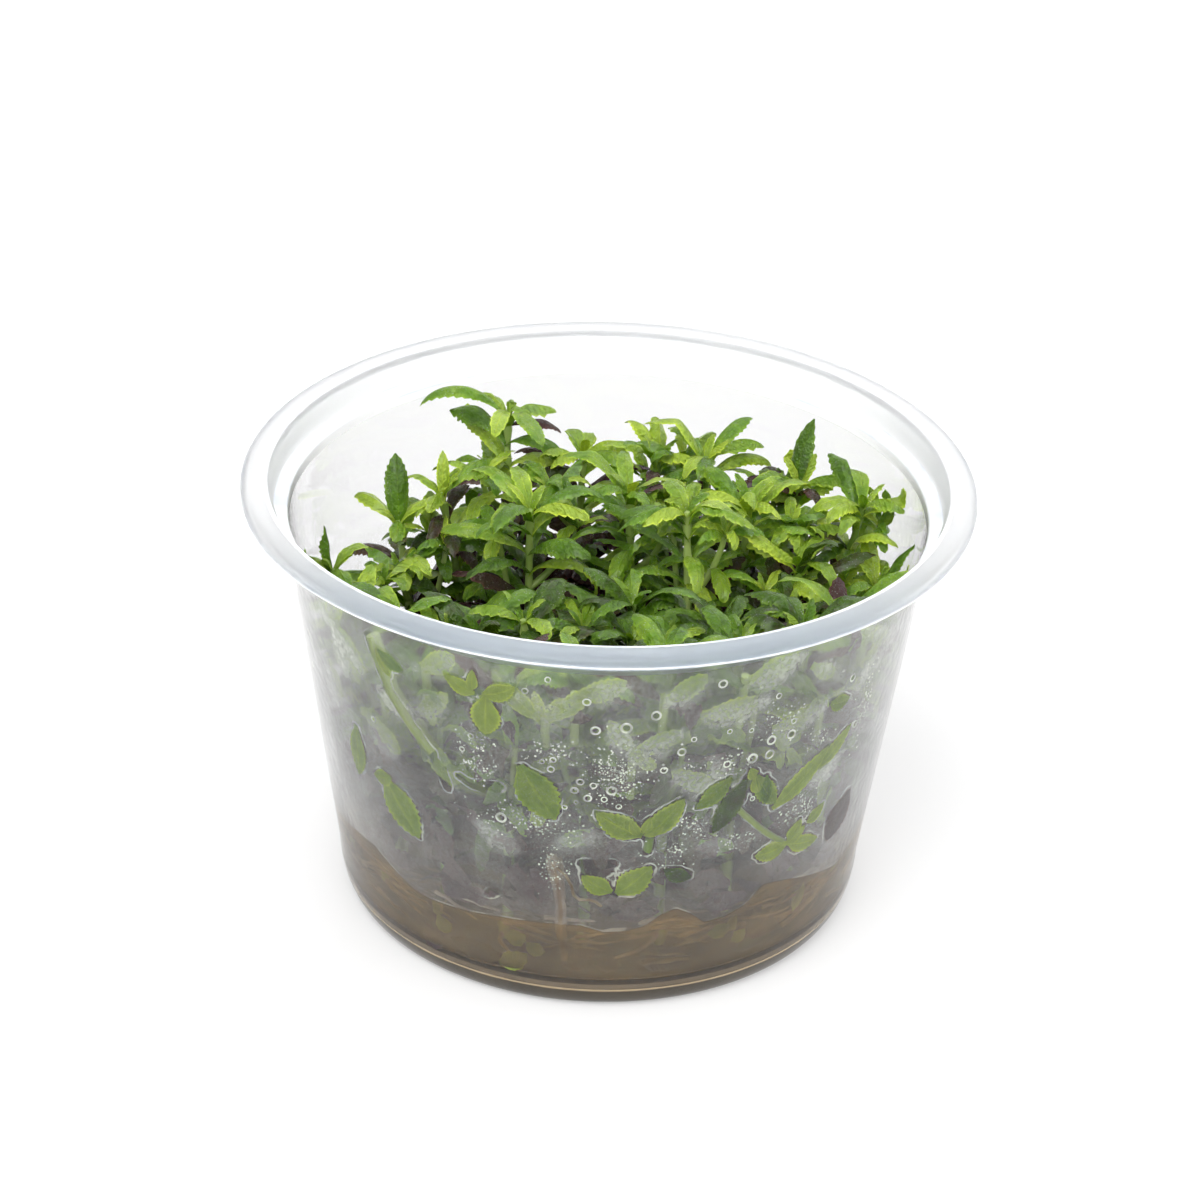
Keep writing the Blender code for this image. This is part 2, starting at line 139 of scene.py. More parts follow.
# Leaves that stand out of the canopy: whorl and slot, then elevation and droop in degrees, length, width
SPECIAL_LEAVES = {
    ("tall_back_left", 3, 0): (80, 126, 15.5, 4.4),
    ("tall_back_left", 3, 2): (35, 60, 9.0, 3.4),
    ("red_back_right", 3, 0): (78, 14, 11.5, 4.6),
    ("right_curled", 3, 0): (58, 36, 12.5, 3.4),
    ("right_curled", 3, 2): (62, 95, 8.5, 4.2),
    ("far_right", 3, 0): (78, 6, 8.0, 2.6),
    ("left_upright", 3, 0): (84, 8, 11.0, 4.4),
    ("thin_left", 3, 0): (84, 6, 7.5, 2.4),
    ("far_left", 3, 0): (80, -10, 8.5, 2.6),
    ("front_left_broad", 3, 0): (18, 40, 14.0, 6.4),
}
ARCHING_SHOOT = "tall_back_left"
ARCH_TOP = 60.5

# Rings of plainer shoots that fill the front: name, radius, first and last azimuth, count, tip height
FILL_RINGS = (
    ("front_wall", 33.0, 214, 338, 8, 51),
    ("front_inner", 22.5, 228, 318, 4, 46),
    ("hollow", 6.0, 150, 240, 2, 37),
)

# Tone of a leaf: 0 is an old purple-brown one, 1 a young lime-green one
TONE_DEEP, TONE_GREEN = 0.38, 0.6
SPECIAL_TONES = {
    ("tall_back_left", 3, 0): 0.64, ("tall_back_left", 3, 1): 0.72, ("tall_back_left", 3, 2): 0.06,
    ("tall_back_left", 2, 0): 0.84, ("tall_back_left", 2, 1): 0.66, ("tall_back_left", 2, 2): 0.95,
    ("red_back_right", 3, 0): 0.5, ("thin_left", 3, 0): 0.95, ("left_upright", 2, 1): 0.2,
    ("right_curled", 3, 2): 0.85, ("right_curled", 3, 1): 0.9, ("right_curled", 3, 0): 0.55,
    ("far_left", 3, 0): 0.45, ("far_right", 3, 0): 0.5, ("left_upright", 3, 0): 0.5,
    ("front_left_broad", 3, 0): 0.55, ("back_right", 3, 1): 0.9, ("back_right", 3, 0): 0.6,
    ("back", 3, 0): 0.92, ("centre_front", 2, 0): 0.5, ("red_back_right", 2, 1): 0.26,
}
# Leaves that are laid a little differently from their solids to match the picture more closely
TUNED_LEAVES = {
    ("tall_back_left", 3, 0): {"elevation": 74, "droop": 112, "length": 16.4, "width": 2.8, "top": 62.4,
                               "shift": (0.0, 0.0, 0.9)},
    ("tall_back_left", 3, 2): {"azimuth": 6, "elevation": 26, "droop": 62, "length": 8.5, "width": 2.8},
    ("red_back_right", 3, 0): {"shift": (-1.8, 0.0, -4.2), "length": 15.6, "width": 4.4},
    ("right_curled", 3, 2): {"elevation": 44, "droop": 40, "length": 9.0, "width": 4.2},
    ("far_right", 3, 0): {"azimuth": 0, "elevation": 67, "droop": 4, "length": 9.6, "width": 2.8},
    ("left_upright", 3, 0): {"width": 4.4},
    ("back_left", 3, 0): {"elevation": 64, "droop": 116, "length": 10.0, "width": 3.2},
}

# Height of the gel's edge on the wall, by azimuth in degrees
GEL_EDGE = (
    (-180, 15.2), (-165, 14.2), (-150, 16.4), (-142.7, 16.7), (-135.7, 14.5), (-129.5, 12.9),
    (-118, 13.4), (-110, 14.1), (-99, 14.5), (-93, 14.6), (-88.5, 13.6), (-84, 13.7), (-79.7, 14.6),
    (-77, 16.2), (-74, 17.2), (-70.6, 15.8), (-67.4, 13.8), (-62.4, 14.0), (-57.8, 15.2),
    (-54.5, 17.8), (-47.7, 16.7), (-41, 15.2), (-30, 13.0), (-15, 14.6), (5, 13.4), (30, 15.4),
    (55, 13.8), (80, 15.0), (105, 13.6), (130, 14.9), (155, 13.8), (180, 15.2),
)

# Large drops on the front of the wall: azimuth, height, radius
DROPS = (
    (-99.3, 56.1, .5), (-103.3, 53.8, .5), (-92.7, 53.0, .6), (-91.1, 48.4, .7), (-113.7, 44.5, .45),
    (-115.7, 41.9, .45), (-98.5, 43.0, .5), (-100.5, 42.5, .4), (-98.9, 41.4, .55), (-93.6, 39.7, .55),
    (-94.6, 38.2, .55), (-91.2, 39.2, .5), (-92.2, 37.0, .62), (-89.2, 36.9, .5), (-87.9, 38.4, .75),
    (-86.5, 35.7, .45), (-108.6, 31.8, .85), (-136.6, 40.5, .5), (-160.3, 45.3, .5), (-162.5, 39.2, .5),
    (-69.5, 54.9, .7), (-58.1, 50.8, .5), (-80.8, 50.8, .75), (-85.8, 48.9, .85), (-75.7, 44.4, .65),
    (-73.7, 46.3, .45), (-78.7, 41.6, .55), (-58.2, 43.5, .8), (-53.8, 43.4, .8), (-58.1, 41.1, .75),
    (-61.7, 41.2, .8), (-67.1, 46.7, .45), (-62.8, 46.1, .4), (-66.8, 41.2, .6), (-53.8, 45.6, .5),
    (-35.5, 39.3, .6), (-39.9, 48.5, .65), (-60.4, 34.1, .45), (-94.3, 36.2, .35), (-96.4, 35.2, .4),
)
# Clusters of fine droplets on the front of the wall: azimuth, height, half width, half height
CLUSTERS = (
    (-112.9, 39.4, 2.4, 1.7), (-98.2, 44.1, 3.4, 1.8), (-103.5, 32.0, 5.2, 2.0), (-61.5, 27.3, 3.0, 1.4),
    (-48.3, 29.6, 2.8, 2.5), (-72.2, 31.7, 2.6, 1.7), (-75.9, 27.8, 2.6, 2.2), (-87.8, 41.9, 2.2, 2.0),
    (-73.6, 41.8, 2.3, 0.9), (-56.5, 46.7, 3.4, 2.0), (-46.9, 40.7, 2.0, 1.6), (-33.3, 42.2, 1.6, 4.7),
    (-112.6, 43.8, 1.7, 3.1), (-64.9, 40.4, 1.8, 1.9), (-98.5, 24.5, 1.6, 3.2), (-86.5, 40.5, 3.5, 4.0),
)

# Leaves that stick to the wet wall: azimuth and height of the base, azimuth and height of the tip,
# width, tone
STUCK_LEAVES = (
    (-135.6, 31.4, -127.6, 23.4, 6.2, 0.7), (-133.6, 31.9, -138.8, 30.6, 2.6, 0.74),
    (-104.6, 41.4, -98.1, 32.9, 5.7, 0.66),
    (-81.8, 30.6, -90.6, 34.6, 3.9, 0.74), (-80.9, 30.5, -74.4, 36.4, 3.6, 0.74),
    (-82.4, 30.8, -84.2, 33.3, 1.5, 0.92), (-81.6, 31.0, -80.6, 33.7, 1.5, 0.9),
    (-81.6, 30.7, -77.8, 32.0, 1.3, 0.94),
    (-87.0, 20.9, -93.0, 23.6, 3.1, 0.82), (-86.2, 20.5, -79.6, 25.2, 4.2, 0.78),
    (-49.8, 23.8, -57.8, 23.6, 3.2, 0.97), (-49.8, 24.0, -47.2, 27.2, 2.6, 0.98),
    (-49.6, 23.6, -40.6, 21.8, 2.8, 0.97), (-50.0, 23.8, -45.6, 25.6, 2.4, 0.98),
    (-65.6, 38.8, -71.8, 34.4, 3.0, 0.6), (-62.4, 37.8, -68.0, 29.6, 3.4, 0.36),
    (-60.6, 37.9, -59.2, 35.0, 1.9, 0.86), (-60.4, 37.8, -61.8, 39.6, 1.7, 0.9),
    (-60.2, 38.0, -54.8, 32.0, 3.0, 0.66), (-58.0, 37.6, -57.2, 32.6, 1.8, 0.45),
    (-55.4, 31.2, -43.0, 38.4, 3.6, 0.8), (-45.0, 35.2, -37.0, 40.0, 2.8, 0.78),
    (-31.5, 26.8, -36.8, 19.8, 5.8, 0.0), (-45.2, 26.0, -40.8, 27.8, 2.4, 0.8),
    (-45.1, 46.0, -39.6, 45.2, 2.6, 0.66), (-142.9, 37.0, -144.6, 28.4, 3.6, 0.68),
    (-132.8, 53.2, -127.2, 51.6, 2.4, 0.55), (-133.2, 53.4, -130.4, 49.6, 1.8, 0.82),
    (-112.4, 51.8, -118.0, 53.6, 2.6, 0.92), (-110.4, 51.7, -110.9, 45.4, 4.2, 0.96),
    (-111.0, 51.9, -105.0, 54.2, 2.8, 0.93), (-113.0, 52.2, -112.6, 55.6, 1.6, 0.96),
    (-77.0, 24.4, -71.4, 22.4, 2.4, 0.36),
)
# Leaves of plantlets just behind the fog, given in the same way
VEILED_LEAVES = (
    (-100.8, 48.9, -108.2, 53.9, 2.9, 0.9), (-99.8, 48.9, -91.6, 54.9, 2.7, 0.9),
    (-100.4, 49.0, -102.0, 53.4, 1.6, 0.97), (-100.0, 48.9, -97.4, 52.8, 1.6, 0.97),
    (-72.4, 49.6, -60.6, 50.4, 3.0, 0.86), (-84.6, 44.0, -75.6, 47.4, 2.8, 0.8),
    (-84.2, 44.4, -88.8, 49.6, 2.4, 0.78), (-84.0, 44.2, -79.8, 41.4, 2.0, 0.85),
    (-57.4, 44.6, -46.4, 46.0, 2.6, 0.84), (-57.0, 44.4, -52.6, 40.2, 2.0, 0.74),
    (-66.6, 36.0, -77.0, 40.8, 2.8, 0.76), (-66.8, 36.2, -69.6, 42.4, 2.2, 0.72),
    (-126.0, 44.6, -118.6, 49.8, 2.8, 0.84), (-126.2, 44.4, -133.6, 46.6, 2.4, 0.8),
    (-146.0, 50.6, -141.6, 44.0, 2.4, 0.84), (-50.6, 53.4, -43.6, 50.2, 2.4, 0.84),
    (-90.6, 31.0, -97.6, 28.4, 2.6, 0.66), (-113.0, 47.0, -110.2, 52.0, 2.4, 0.8),
    (-95.0, 53.0, -86.0, 56.0, 3.2, 0.86), (-124.0, 52.6, -116.6, 56.4, 3.4, 0.84),
    (-64.0, 54.0, -54.0, 56.4, 3.2, 0.84), (-151.0, 53.0, -144.0, 55.6, 3.2, 0.86),
    (-139.0, 47.0, -146.0, 51.8, 3.0, 0.8), (-79.0, 52.6, -72.0, 56.2, 3.0, 0.8),
    (-118.4, 34.6, -124.6, 41.0, 3.6, 0.76), (-46.0, 33.0, -38.6, 35.4, 3.2, 0.8),
    (-37.0, 46.0, -30.4, 50.6, 3.0, 0.86), (-34.0, 53.6, -27.0, 50.0, 3.0, 0.86),
    (-106.0, 26.6, -113.0, 30.0, 3.0, 0.5), (-70.0, 27.6, -62.0, 25.6, 2.8, 0.56),
    (-138.0, 40.0, -131.6, 36.0, 3.0, 0.78), (-155.0, 44.0, -150.0, 38.4, 2.8, 0.84),
)
VEILED_DEPTH = 0.9
# Stems of those plantlets: azimuth, lowest and highest point
VEILED_STEMS = (
    (-100.4, 44.0, 50.0), (-84.2, 36.0, 44.6), (-66.6, 28.0, 36.4), (-126.0, 37.0, 44.8),
    (-95.0, 45.0, 53.2), (-124.0, 45.0, 52.8), (-64.0, 46.0, 54.2), (-151.0, 44.0, 53.2),
    (-79.0, 45.0, 52.8), (-34.0, 44.0, 53.8),
)
# Stems that stick to the wall: azimuth and height of both ends, radius, tone
STUCK_STEMS = (
    (-134.9, 54.5, -130.9, 46.6, 0.9, 0.96), (-130.9, 46.6, -122.6, 39.4, 1.0, 0.96),
    (-63.2, 32.9, -50.0, 23.7, 0.5, 0.92), (-110.0, 52.0, -110.3, 48.6, 0.5, 0.88),
    (-80.2, 30.0, -80.6, 27.6, 0.6, 0.7), (-60.4, 37.9, -60.0, 36.4, 0.6, 0.84),
)
# Clear patches in the fog with nothing behind them: azimuth and height of both ends, half width
CLEAR_PATCHES = (
    (-122.4, 39.0, -120.2, 37.0, 0.5), (-120.6, 37.6, -119.6, 34.4, 0.75),
    (-117.0, 37.0, -112.0, 35.9, 0.55), (-114.0, 36.3, -108.6, 36.9, 0.9),
    (-92.6, 25.4, -87.4, 25.4, 1.3), (-91.4, 24.4, -88.4, 24.6, 1.3),
    (-112.2, 17.7, -110.7, 18.4, 0.8), (-76.8, 24.2, -72.0, 23.0, 0.7),
)
# A thick root and a thin curled one on the front wall: azimuth, height, and the thick one's radius
THICK_ROOT = (
    (-99.0, 25.6, 0.8), (-98.7, 24.6, 1.3), (-98.2, 23.0, 1.15), (-97.6, 20.5, 0.9),
    (-97.2, 17.5, 0.8), (-97.3, 14.0, 0.9), (-96.8, 11.0, 0.7), (-96.4, 8.0, 0.5),
)
CURLED_ROOT = (
    (-98.0, 24.6), (-96.2, 23.4), (-95.0, 21.6), (-94.6, 20.0), (-93.4, 19.2), (-91.6, 19.3),
    (-90.2, 19.0), (-89.0, 18.2),
)
# Bits of leaf that show in the gel, given like the leaves on the wall
GEL_BITS = (
    (-125.2, 10.6, -122.4, 8.2, 2.8, 0.8), (-109.0, 10.6, -104.6, 11.6, 2.8, 0.8),
    (-104.4, 10.2, -100.6, 9.0, 2.4, 0.82), (-110.8, 5.4, -104.4, 8.2, 3.2, 0.8),
    (-66.0, 11.4, -60.8, 12.0, 2.6, 0.66), (-43.4, 9.6, -41.6, 14.2, 2.0, 0.8),
    (-60.0, 9.0, -57.0, 10.4, 2.4, 0.75),
)


def wall_outer_radius(z):
    """Outer radius of the straight tapered wall at height z."""
    share = (z - WALL_LOW_Z) / (WALL_HIGH_Z - WALL_LOW_Z)
    return WALL_LOW_RADIUS + (WALL_HIGH_RADIUS - WALL_LOW_RADIUS) * share


def leaf_limit_radius(z):
    """Largest radius that the middle of a leaf may reach at height z."""
    return wall_outer_radius(z) - WALL - WALL_CLEARANCE


def arc(centre_r, centre_z, radius_r, radius_z, start, end, steps):
    """Points of an elliptical arc in the tub's section, angles in degrees from +r towards +z."""
    points = []
    for step in range(steps + 1):
        angle = math.radians(start + (end - start) * step / steps)
        points.append((centre_r + radius_r * math.cos(angle), centre_z + radius_z * math.sin(angle)))
    return points


def bent(start, bend, tip, share):
    """Place on a curve that leaves its start towards the bend and comes from there to its tip."""
    return start.lerp(bend, share).lerp(bend.lerp(tip, share), share)


def stem_point(shoot, share):
    """Place on a stem's middle line: it leaves the gel upright and bends towards its tip."""
    x, y = shoot["foot"]
    start = Vector((x, y, GEL_TOP + 0.6))
    tip = Vector(shoot["tip"])
    bend = Vector((x, y, start.z + 0.55 * (tip.z - start.z)))
    return bent(start, bend, tip, share)


def stem_frame(shoot, share):
    """Middle point, direction and two cross directions of a stem at a share of its length."""
    middle = stem_point(shoot, share)
    before, after = max(share - 0.02, 0.0), min(share + 0.02, 1.0)
    along = (stem_point(shoot, after) - stem_point(shoot, before)).normalized()
    across = (Vector((1.0, 0.0, 0.0)) - along * along.x).normalized()
    return middle, along, across, along.cross(across)


def stem_ring(shoot, share, radius):
    """Six points round a stem."""
    middle, _, across, beside = stem_frame(shoot, share)
    ring = []
    for corner in range(6):
        angle = math.radians(shoot["turn"] + 60 * corner - 30)
        ring.append(middle + (across * math.cos(angle) + beside * math.sin(angle)) * radius)
    return ring


def stem_rings(shoot):
    """All rings of a stem from the bottom of its pocket to its tip."""
    length = (stem_point(shoot, 1.0) - stem_point(shoot, 0.0)).length
    half_node = 0.5 * NODE_HEIGHT / length
    x, y = shoot["foot"]
    sunk = Vector((x, y, GEL_TOP - POCKET_DEPTH + GAP)) - stem_point(shoot, 0.0)
    rings = [[point + sunk for point in stem_ring(shoot, 0.0, STEM_RADIUS)]]
    rings.append(stem_ring(shoot, 0.0, STEM_RADIUS))
    rings.append(stem_ring(shoot, 0.5 * WHORL_HEIGHTS[0], stem_radius(0.5 * WHORL_HEIGHTS[0])))
    for height in WHORL_HEIGHTS:
        rings.append(stem_ring(shoot, height - half_node, stem_radius(height)))
        rings.append(stem_ring(shoot, height + half_node, stem_radius(height)))
    rings.append(stem_ring(shoot, 1.0 + 2.5 * half_node, 0.5 * STEM_TIP_RADIUS))
    return rings


def stem_radius(share):
    """Stems thin towards their tips."""
    return STEM_RADIUS + (STEM_TIP_RADIUS - STEM_RADIUS) * share


def leaf_line(leaf):
    """Middle line of a leaf: points with their forward and sideways directions and how far they are
    pressed against the wall.

    The leaf starts at its elevation, droops and yaws along its length, and slides along the wall, the
    lid plane and the gel where it meets them.
    """
    place = leaf["base"].copy()
    step = leaf["length"] / LEAF_STEPS
    pressed = 0.0
    line = []
    for index in range(LEAF_STEPS + 1):
        share = index / LEAF_STEPS
        azimuth = math.radians(leaf["azimuth"] + leaf["yaw"] * share)
        rise = math.radians(leaf["elevation"] - leaf["droop"] * share)
        out = Vector((math.cos(azimuth), math.sin(azimuth), 0.0))
        ahead = out * math.cos(rise) + Vector((0.0, 0.0, math.sin(rise)))
        side = Vector((-math.sin(azimuth), math.cos(azimuth), 0.0))
        side.rotate(Matrix.Rotation(math.radians(leaf["twist"] * share), 3, ahead))
        if line:
            radial = Vector((place.x, place.y, 0.0)).normalized()
            along_wall = ahead - radial * ahead.dot(radial)
            along_wall.z += math.copysign(WALL_SLIDE, ahead.z - 0.1)
            target = place + ahead.lerp(along_wall.normalized(), pressed).normalized() * step
            limit = leaf_limit_radius(target.z)
            reach = math.hypot(target.x, target.y)
            if reach > limit:
                target.x *= limit / reach
                target.y *= limit / reach
            pressed = min(1.0, pressed + 0.25) if reach > limit - 0.3 else max(0.0, pressed - 0.25)
            if not LEAF_LOWEST < target.z < leaf["top"]:
                level = Vector((target.x - place.x, target.y - place.y, 0.0)).normalized()
                target = place + level * step
                target.z = min(max(target.z, LEAF_LOWEST), leaf["top"])
            ahead = (target - place).normalized()
            place = target
        if pressed > 0.0:
            radial = Vector((place.x, place.y, 0.0)).normalized()
            flat = radial.cross(ahead).normalized()
            flat = flat if flat.dot(line[-1][2]) >= 0.0 else -flat
            side = side.lerp(flat, pressed).normalized()
        line.append((place.copy(), ahead, side, pressed))
    return line


def leaf_loop(line, share, width, margin=0.0):
    """Four corners of a leaf's section at a share of its length, anticlockwise seen from its tip."""
    place, ahead, side, _ = line[round(share * LEAF_STEPS)]
    normal = ahead.cross(side).normalized()
    wide = side * (0.5 * width + margin)
    thick = normal * (0.5 * LEAF_THICKNESS + margin)
    return [place - wide - thick, place + wide - thick, place + wide + thick, place - wide + thick]


def loops_tree(loops):
    """Search tree of the closed tube through a list of four-cornered or six-cornered loops."""
    points = [point for loop in loops for point in loop]
    around = len(loops[0])
    faces = [tuple(range(around)), tuple(range(len(points) - around, len(points)))]
    for ring in range(len(loops) - 1):
        for corner in range(around):
            low = ring * around + corner
            low_next = ring * around + (corner + 1) % around
            faces.append((low, low_next, low_next + around, low + around))
    return BVHTree.FromPolygons(points, faces)


def box_round(points, margin=0.0):
    """Lowest and highest corner round some points."""
    low = [min(point[axis] for point in points) - margin for axis in range(3)]
    high = [max(point[axis] for point in points) + margin for axis in range(3)]
    return low, high


def apart(first, second):
    """Whether two boxes have no point in common."""
    return any(first[0][axis] > second[1][axis] or second[0][axis] > first[1][axis] for axis in range(3))


class Thicket:
    """Everything placed so far, so that a new stem or leaf can be tested for room."""

    def __init__(self):
        self.placed = []

    def add(self, loops, stem_of=None):
        """Remember a closed tube, and whose stem it is."""
        box = box_round([point for loop in loops for point in loop])
        self.placed.append((box, loops_tree(loops), stem_of))

    def is_free(self, loops, own_stem):
        """Whether a leaf touches nothing; its foot may touch its own stem."""
        box = box_round([point for loop in loops for point in loop])
        whole = None
        for other_box, other_tree, stem_of in self.placed:
            if apart(box, other_box):
                continue
            if stem_of == own_stem:
                if loops_tree(loops[1:]).overlap(other_tree):
                    return False
                continue
            whole = whole or loops_tree(loops)
            if whole.overlap(other_tree):
                return False
        return True


def leaf_loops(leaf):
    """Loops of a leaf's solid beyond its base face."""
    line = leaf_line(leaf)
    return [leaf_loop(line, share, leaf["width"] * wide) for share, wide in LEAF_STATIONS]


def leaf_room(leaf, margin):
    """Loops of a whole leaf grown by a margin, for testing whether it has room."""
    line = leaf_line(leaf)
    loops = [leaf_loop(line, 0.05, STEM_RADIUS, margin)]
    loops += [leaf_loop(line, share, leaf["width"] * wide, margin) for share, wide in LEAF_STATIONS]
    loops[-1] = [point + line[-1][1] * margin for point in loops[-1]]
    return loops


def plan_shoots(dice):
    """Foot, tip, turn and leaf sizes of every shoot, the main ones first."""
    shoots = []
    for name, foot, tip, azimuth, length, width in MAIN_SHOOTS:
        shoots.append({"name": name, "foot": foot, "tip": tip, "azimuth": azimuth,
                       "length": length, "width": width})
    for name, radius, first, last, count, height in FILL_RINGS:
        for index in range(count):
            angle = math.radians(first + (last - first) * index / (count - 1))
            reach = radius + dice.uniform(-1.0, 1.0)
            foot = (reach * math.cos(angle), reach * math.sin(angle))
            lean = dice.uniform(1.03, 1.1)
            tip = (foot[0] * lean + dice.uniform(-2, 2), foot[1] * lean + dice.uniform(-2, 2),
                   height + dice.uniform(-4, 3))
            outward = math.degrees(angle) + 60 * ((len(WHORL_HEIGHTS) - 1) % 2)
            shoots.append({"name": f"{name}_{index + 1}", "foot": foot, "tip": tip,
                           "azimuth": outward + dice.uniform(-15, 15),
                           "length": LEAF_LENGTH * dice.uniform(0.8, 1.05),
                           "width": LEAF_WIDTH * dice.uniform(0.85, 1.2)})
    for shoot in shoots:
        shoot["turn"] = shoot["azimuth"] - 60 * ((len(WHORL_HEIGHTS) - 1) % 2)
    return shoots


def first_leaf(shoot, whorl, slot, dice):
    """The leaf that a slot would hold with nothing in its way: low ones spread, high ones stand up."""
    share = whorl / (len(WHORL_HEIGHTS) - 1)
    middle, _, across, beside = stem_frame(shoot, WHORL_HEIGHTS[whorl])
    azimuth = shoot["turn"] + 60 * (whorl % 2) + 120 * slot
    angle = math.radians(azimuth)
    out = across * math.cos(angle) + beside * math.sin(angle)
    leaf = {"base": middle + out * stem_radius(WHORL_HEIGHTS[whorl]) * math.cos(math.radians(30)),
            "azimuth": azimuth, "top": CANOPY_TOP, "shoot": shoot["name"],
            "elevation": 24 + 36 * share + dice.uniform(-10, 10),
            "droop": 52 - 14 * share + dice.uniform(-22, 22),
            "length": shoot["length"] * (1.0 - 0.2 * share * share) * dice.uniform(0.85, 1.1),
            "width": shoot["width"] * (1.0 - 0.15 * share) * dice.uniform(0.9, 1.1),
            "yaw": dice.uniform(-25, 25), "twist": dice.uniform(-30, 30)}
    special = SPECIAL_LEAVES.get((shoot["name"], whorl, slot))
    if special:
        leaf["elevation"], leaf["droop"], leaf["length"], leaf["width"] = special
        leaf["yaw"] = 0.0
        leaf["twist"] = 0.0
        leaf["top"] = ARCH_TOP if shoot["name"] == ARCHING_SHOOT and slot == 0 else CANOPY_TOP
    return leaf


def inside_tub(loops):
    """Whether every point of some loops stays a gap clear of the wall."""
    return all(math.hypot(point.x, point.y) < wall_outer_radius(point.z) - WALL - GAP
               for loop in loops for point in loop)


def fitted_leaf(leaf, thicket, dice):
    """The first leaf near the wanted one that touches nothing, or None."""
    for attempt in range(14):
        wanted = dict(leaf)
        if attempt:
            spread = min(attempt, 8) / 8
            wanted["yaw"] = leaf["yaw"] + spread * dice.uniform(-45, 45)
            wanted["elevation"] = leaf["elevation"] + spread * dice.uniform(-20, 28)
            wanted["twist"] = leaf["twist"] + spread * dice.uniform(-40, 40)
            wanted["length"] = leaf["length"] * (1.0 - 0.04 * attempt)
            wanted["width"] = leaf["width"] * (1.0 - 0.025 * attempt)
        if inside_tub(leaf_loops(wanted)) and thicket.is_free(leaf_room(wanted, GAP), leaf["shoot"]):
            return wanted
    return None


def grow(shoots, dice):
    """Give every shoot its leaves, the standing-out ones first, then the highest whorls downwards."""
    thicket = Thicket()
    for shoot in shoots:
        thicket.add(stem_rings(shoot), shoot["name"])
        shoot["leaves"] = {}
    slots = []
    for whorl in reversed(range(len(WHORL_HEIGHTS))):
        for slot in range(LEAVES_PER_WHORL):
            for shoot in shoots:
                slots.append((shoot, whorl, slot))
    slots.sort(key=lambda place: (place[0]["name"], *place[1:]) not in SPECIAL_LEAVES)
    for shoot, whorl, slot in slots:
        leaf = fitted_leaf(first_leaf(shoot, whorl, slot, dice), thicket, dice)
        if leaf:
            shoot["leaves"][whorl, slot] = leaf
            thicket.add(leaf_room(leaf, 0.0))
    return shoots


PLANT_DICE = random.Random(SEED)
SHOOTS = grow(plan_shoots(PLANT_DICE), PLANT_DICE)


# Modelling helpers


def deselect():
    """Nothing selected, nothing active."""
    for thing in bpy.context.view_layer.objects:
        thing.select_set(False)
    bpy.context.view_layer.objects.active = None


def pick(*things):
    """Select only these objects, the last one active."""
    deselect()
    for thing in things:
        thing.select_set(True)
        bpy.context.view_layer.objects.active = thing
    return things[-1]


def named(name):
    """The object that was just added, with its name."""
    thing = bpy.context.object
    thing.name = thing.data.name = name
    return thing


def edit(kind="VERT"):
    """Enter edit mode with everything selected."""
    bpy.ops.object.mode_set(mode="EDIT")
    bpy.ops.mesh.select_mode(type=kind)
    bpy.ops.mesh.select_all(action="SELECT")


def leave_edit():
    """Back to object mode."""
    bpy.ops.object.mode_set(mode="OBJECT")


def select_where(thing, wanted, kind="verts"):
    """In edit mode, select the vertices, edges or faces that pass a test."""
    mesh = bmesh.from_edit_mesh(thing.data)
    for item in getattr(mesh, kind):
        item.select = wanted(item)
    if kind == "verts":
        mesh.select_flush_mode()
        mesh.select_flush(True)
        mesh.select_flush(False)
    bmesh.update_edit_mesh(thing.data)


def move(*by):
    """Move the selection."""
    bpy.ops.transform.translate(value=by)


def merge(threshold):
    """Merge everything that lies together."""
    bpy.ops.mesh.select_all(action="SELECT")
    bpy.ops.mesh.remove_doubles(threshold=threshold)


def turned(points, name, segments):
    """A profile that is extruded point by point and spun round the tub's axis."""
    deselect()
    bpy.ops.mesh.primitive_plane_add(size=0.001, location=(0.0, 0.0, 0.0))
    thing = named(name)
    edit()
    bpy.ops.mesh.merge(type="CENTER")
    places = [Vector((radius * MM, 0.0, height * MM)) for radius, height in points]
    move(*places[0])
    for before, after in zip(places, places[1:]):
        bpy.ops.mesh.extrude_region_move(TRANSFORM_OT_translate={"value": after - before})
    bpy.ops.mesh.select_all(action="SELECT")
    bpy.ops.mesh.spin(steps=segments, angle=math.tau, center=(0.0, 0.0, 0.0), axis=(0.0, 0.0, 1.0))
    merge(0.000002)
    bpy.ops.mesh.normals_make_consistent(inside=False)
    leave_edit()
    return thing


def places_of(thing):
    """Vertex places as an array."""
    flat = np.empty(len(thing.data.vertices) * 3)
    thing.data.vertices.foreach_get("co", flat)
    return flat.reshape(-1, 3)


def set_places(thing, places):
    """Put vertices at an array of places."""
    thing.data.vertices.foreach_set("co", places.ravel())
    thing.data.update()


def give(thing, name, values):
    """Store one number for each vertex."""
    layer = thing.data.attributes.new(name, "FLOAT", "POINT")
    layer.data.foreach_set("value", np.asarray(values, dtype=np.float32))


def search_tree(points):
    """Search tree of some points."""
    tree = KDTree(len(points))
    for index, point in enumerate(points):
        tree.insert(point, index)
    tree.balance()
    return tree


def coat(thing, *materials):
    """Give a piece its materials, in the order of their slots."""
    for made in materials:
        thing.data.materials.append(made)


def hand_over(thing, degrees, slot, *nodes):
    """Smooth a piece up to an angle, hang it on the root body and hide the solids that it stands in for; slot
    is not used.
    """
    pick(thing)
    bpy.ops.object.shade_smooth_by_angle(angle=math.radians(degrees))
    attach(thing, "root")
    if nodes:
        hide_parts(*nodes)


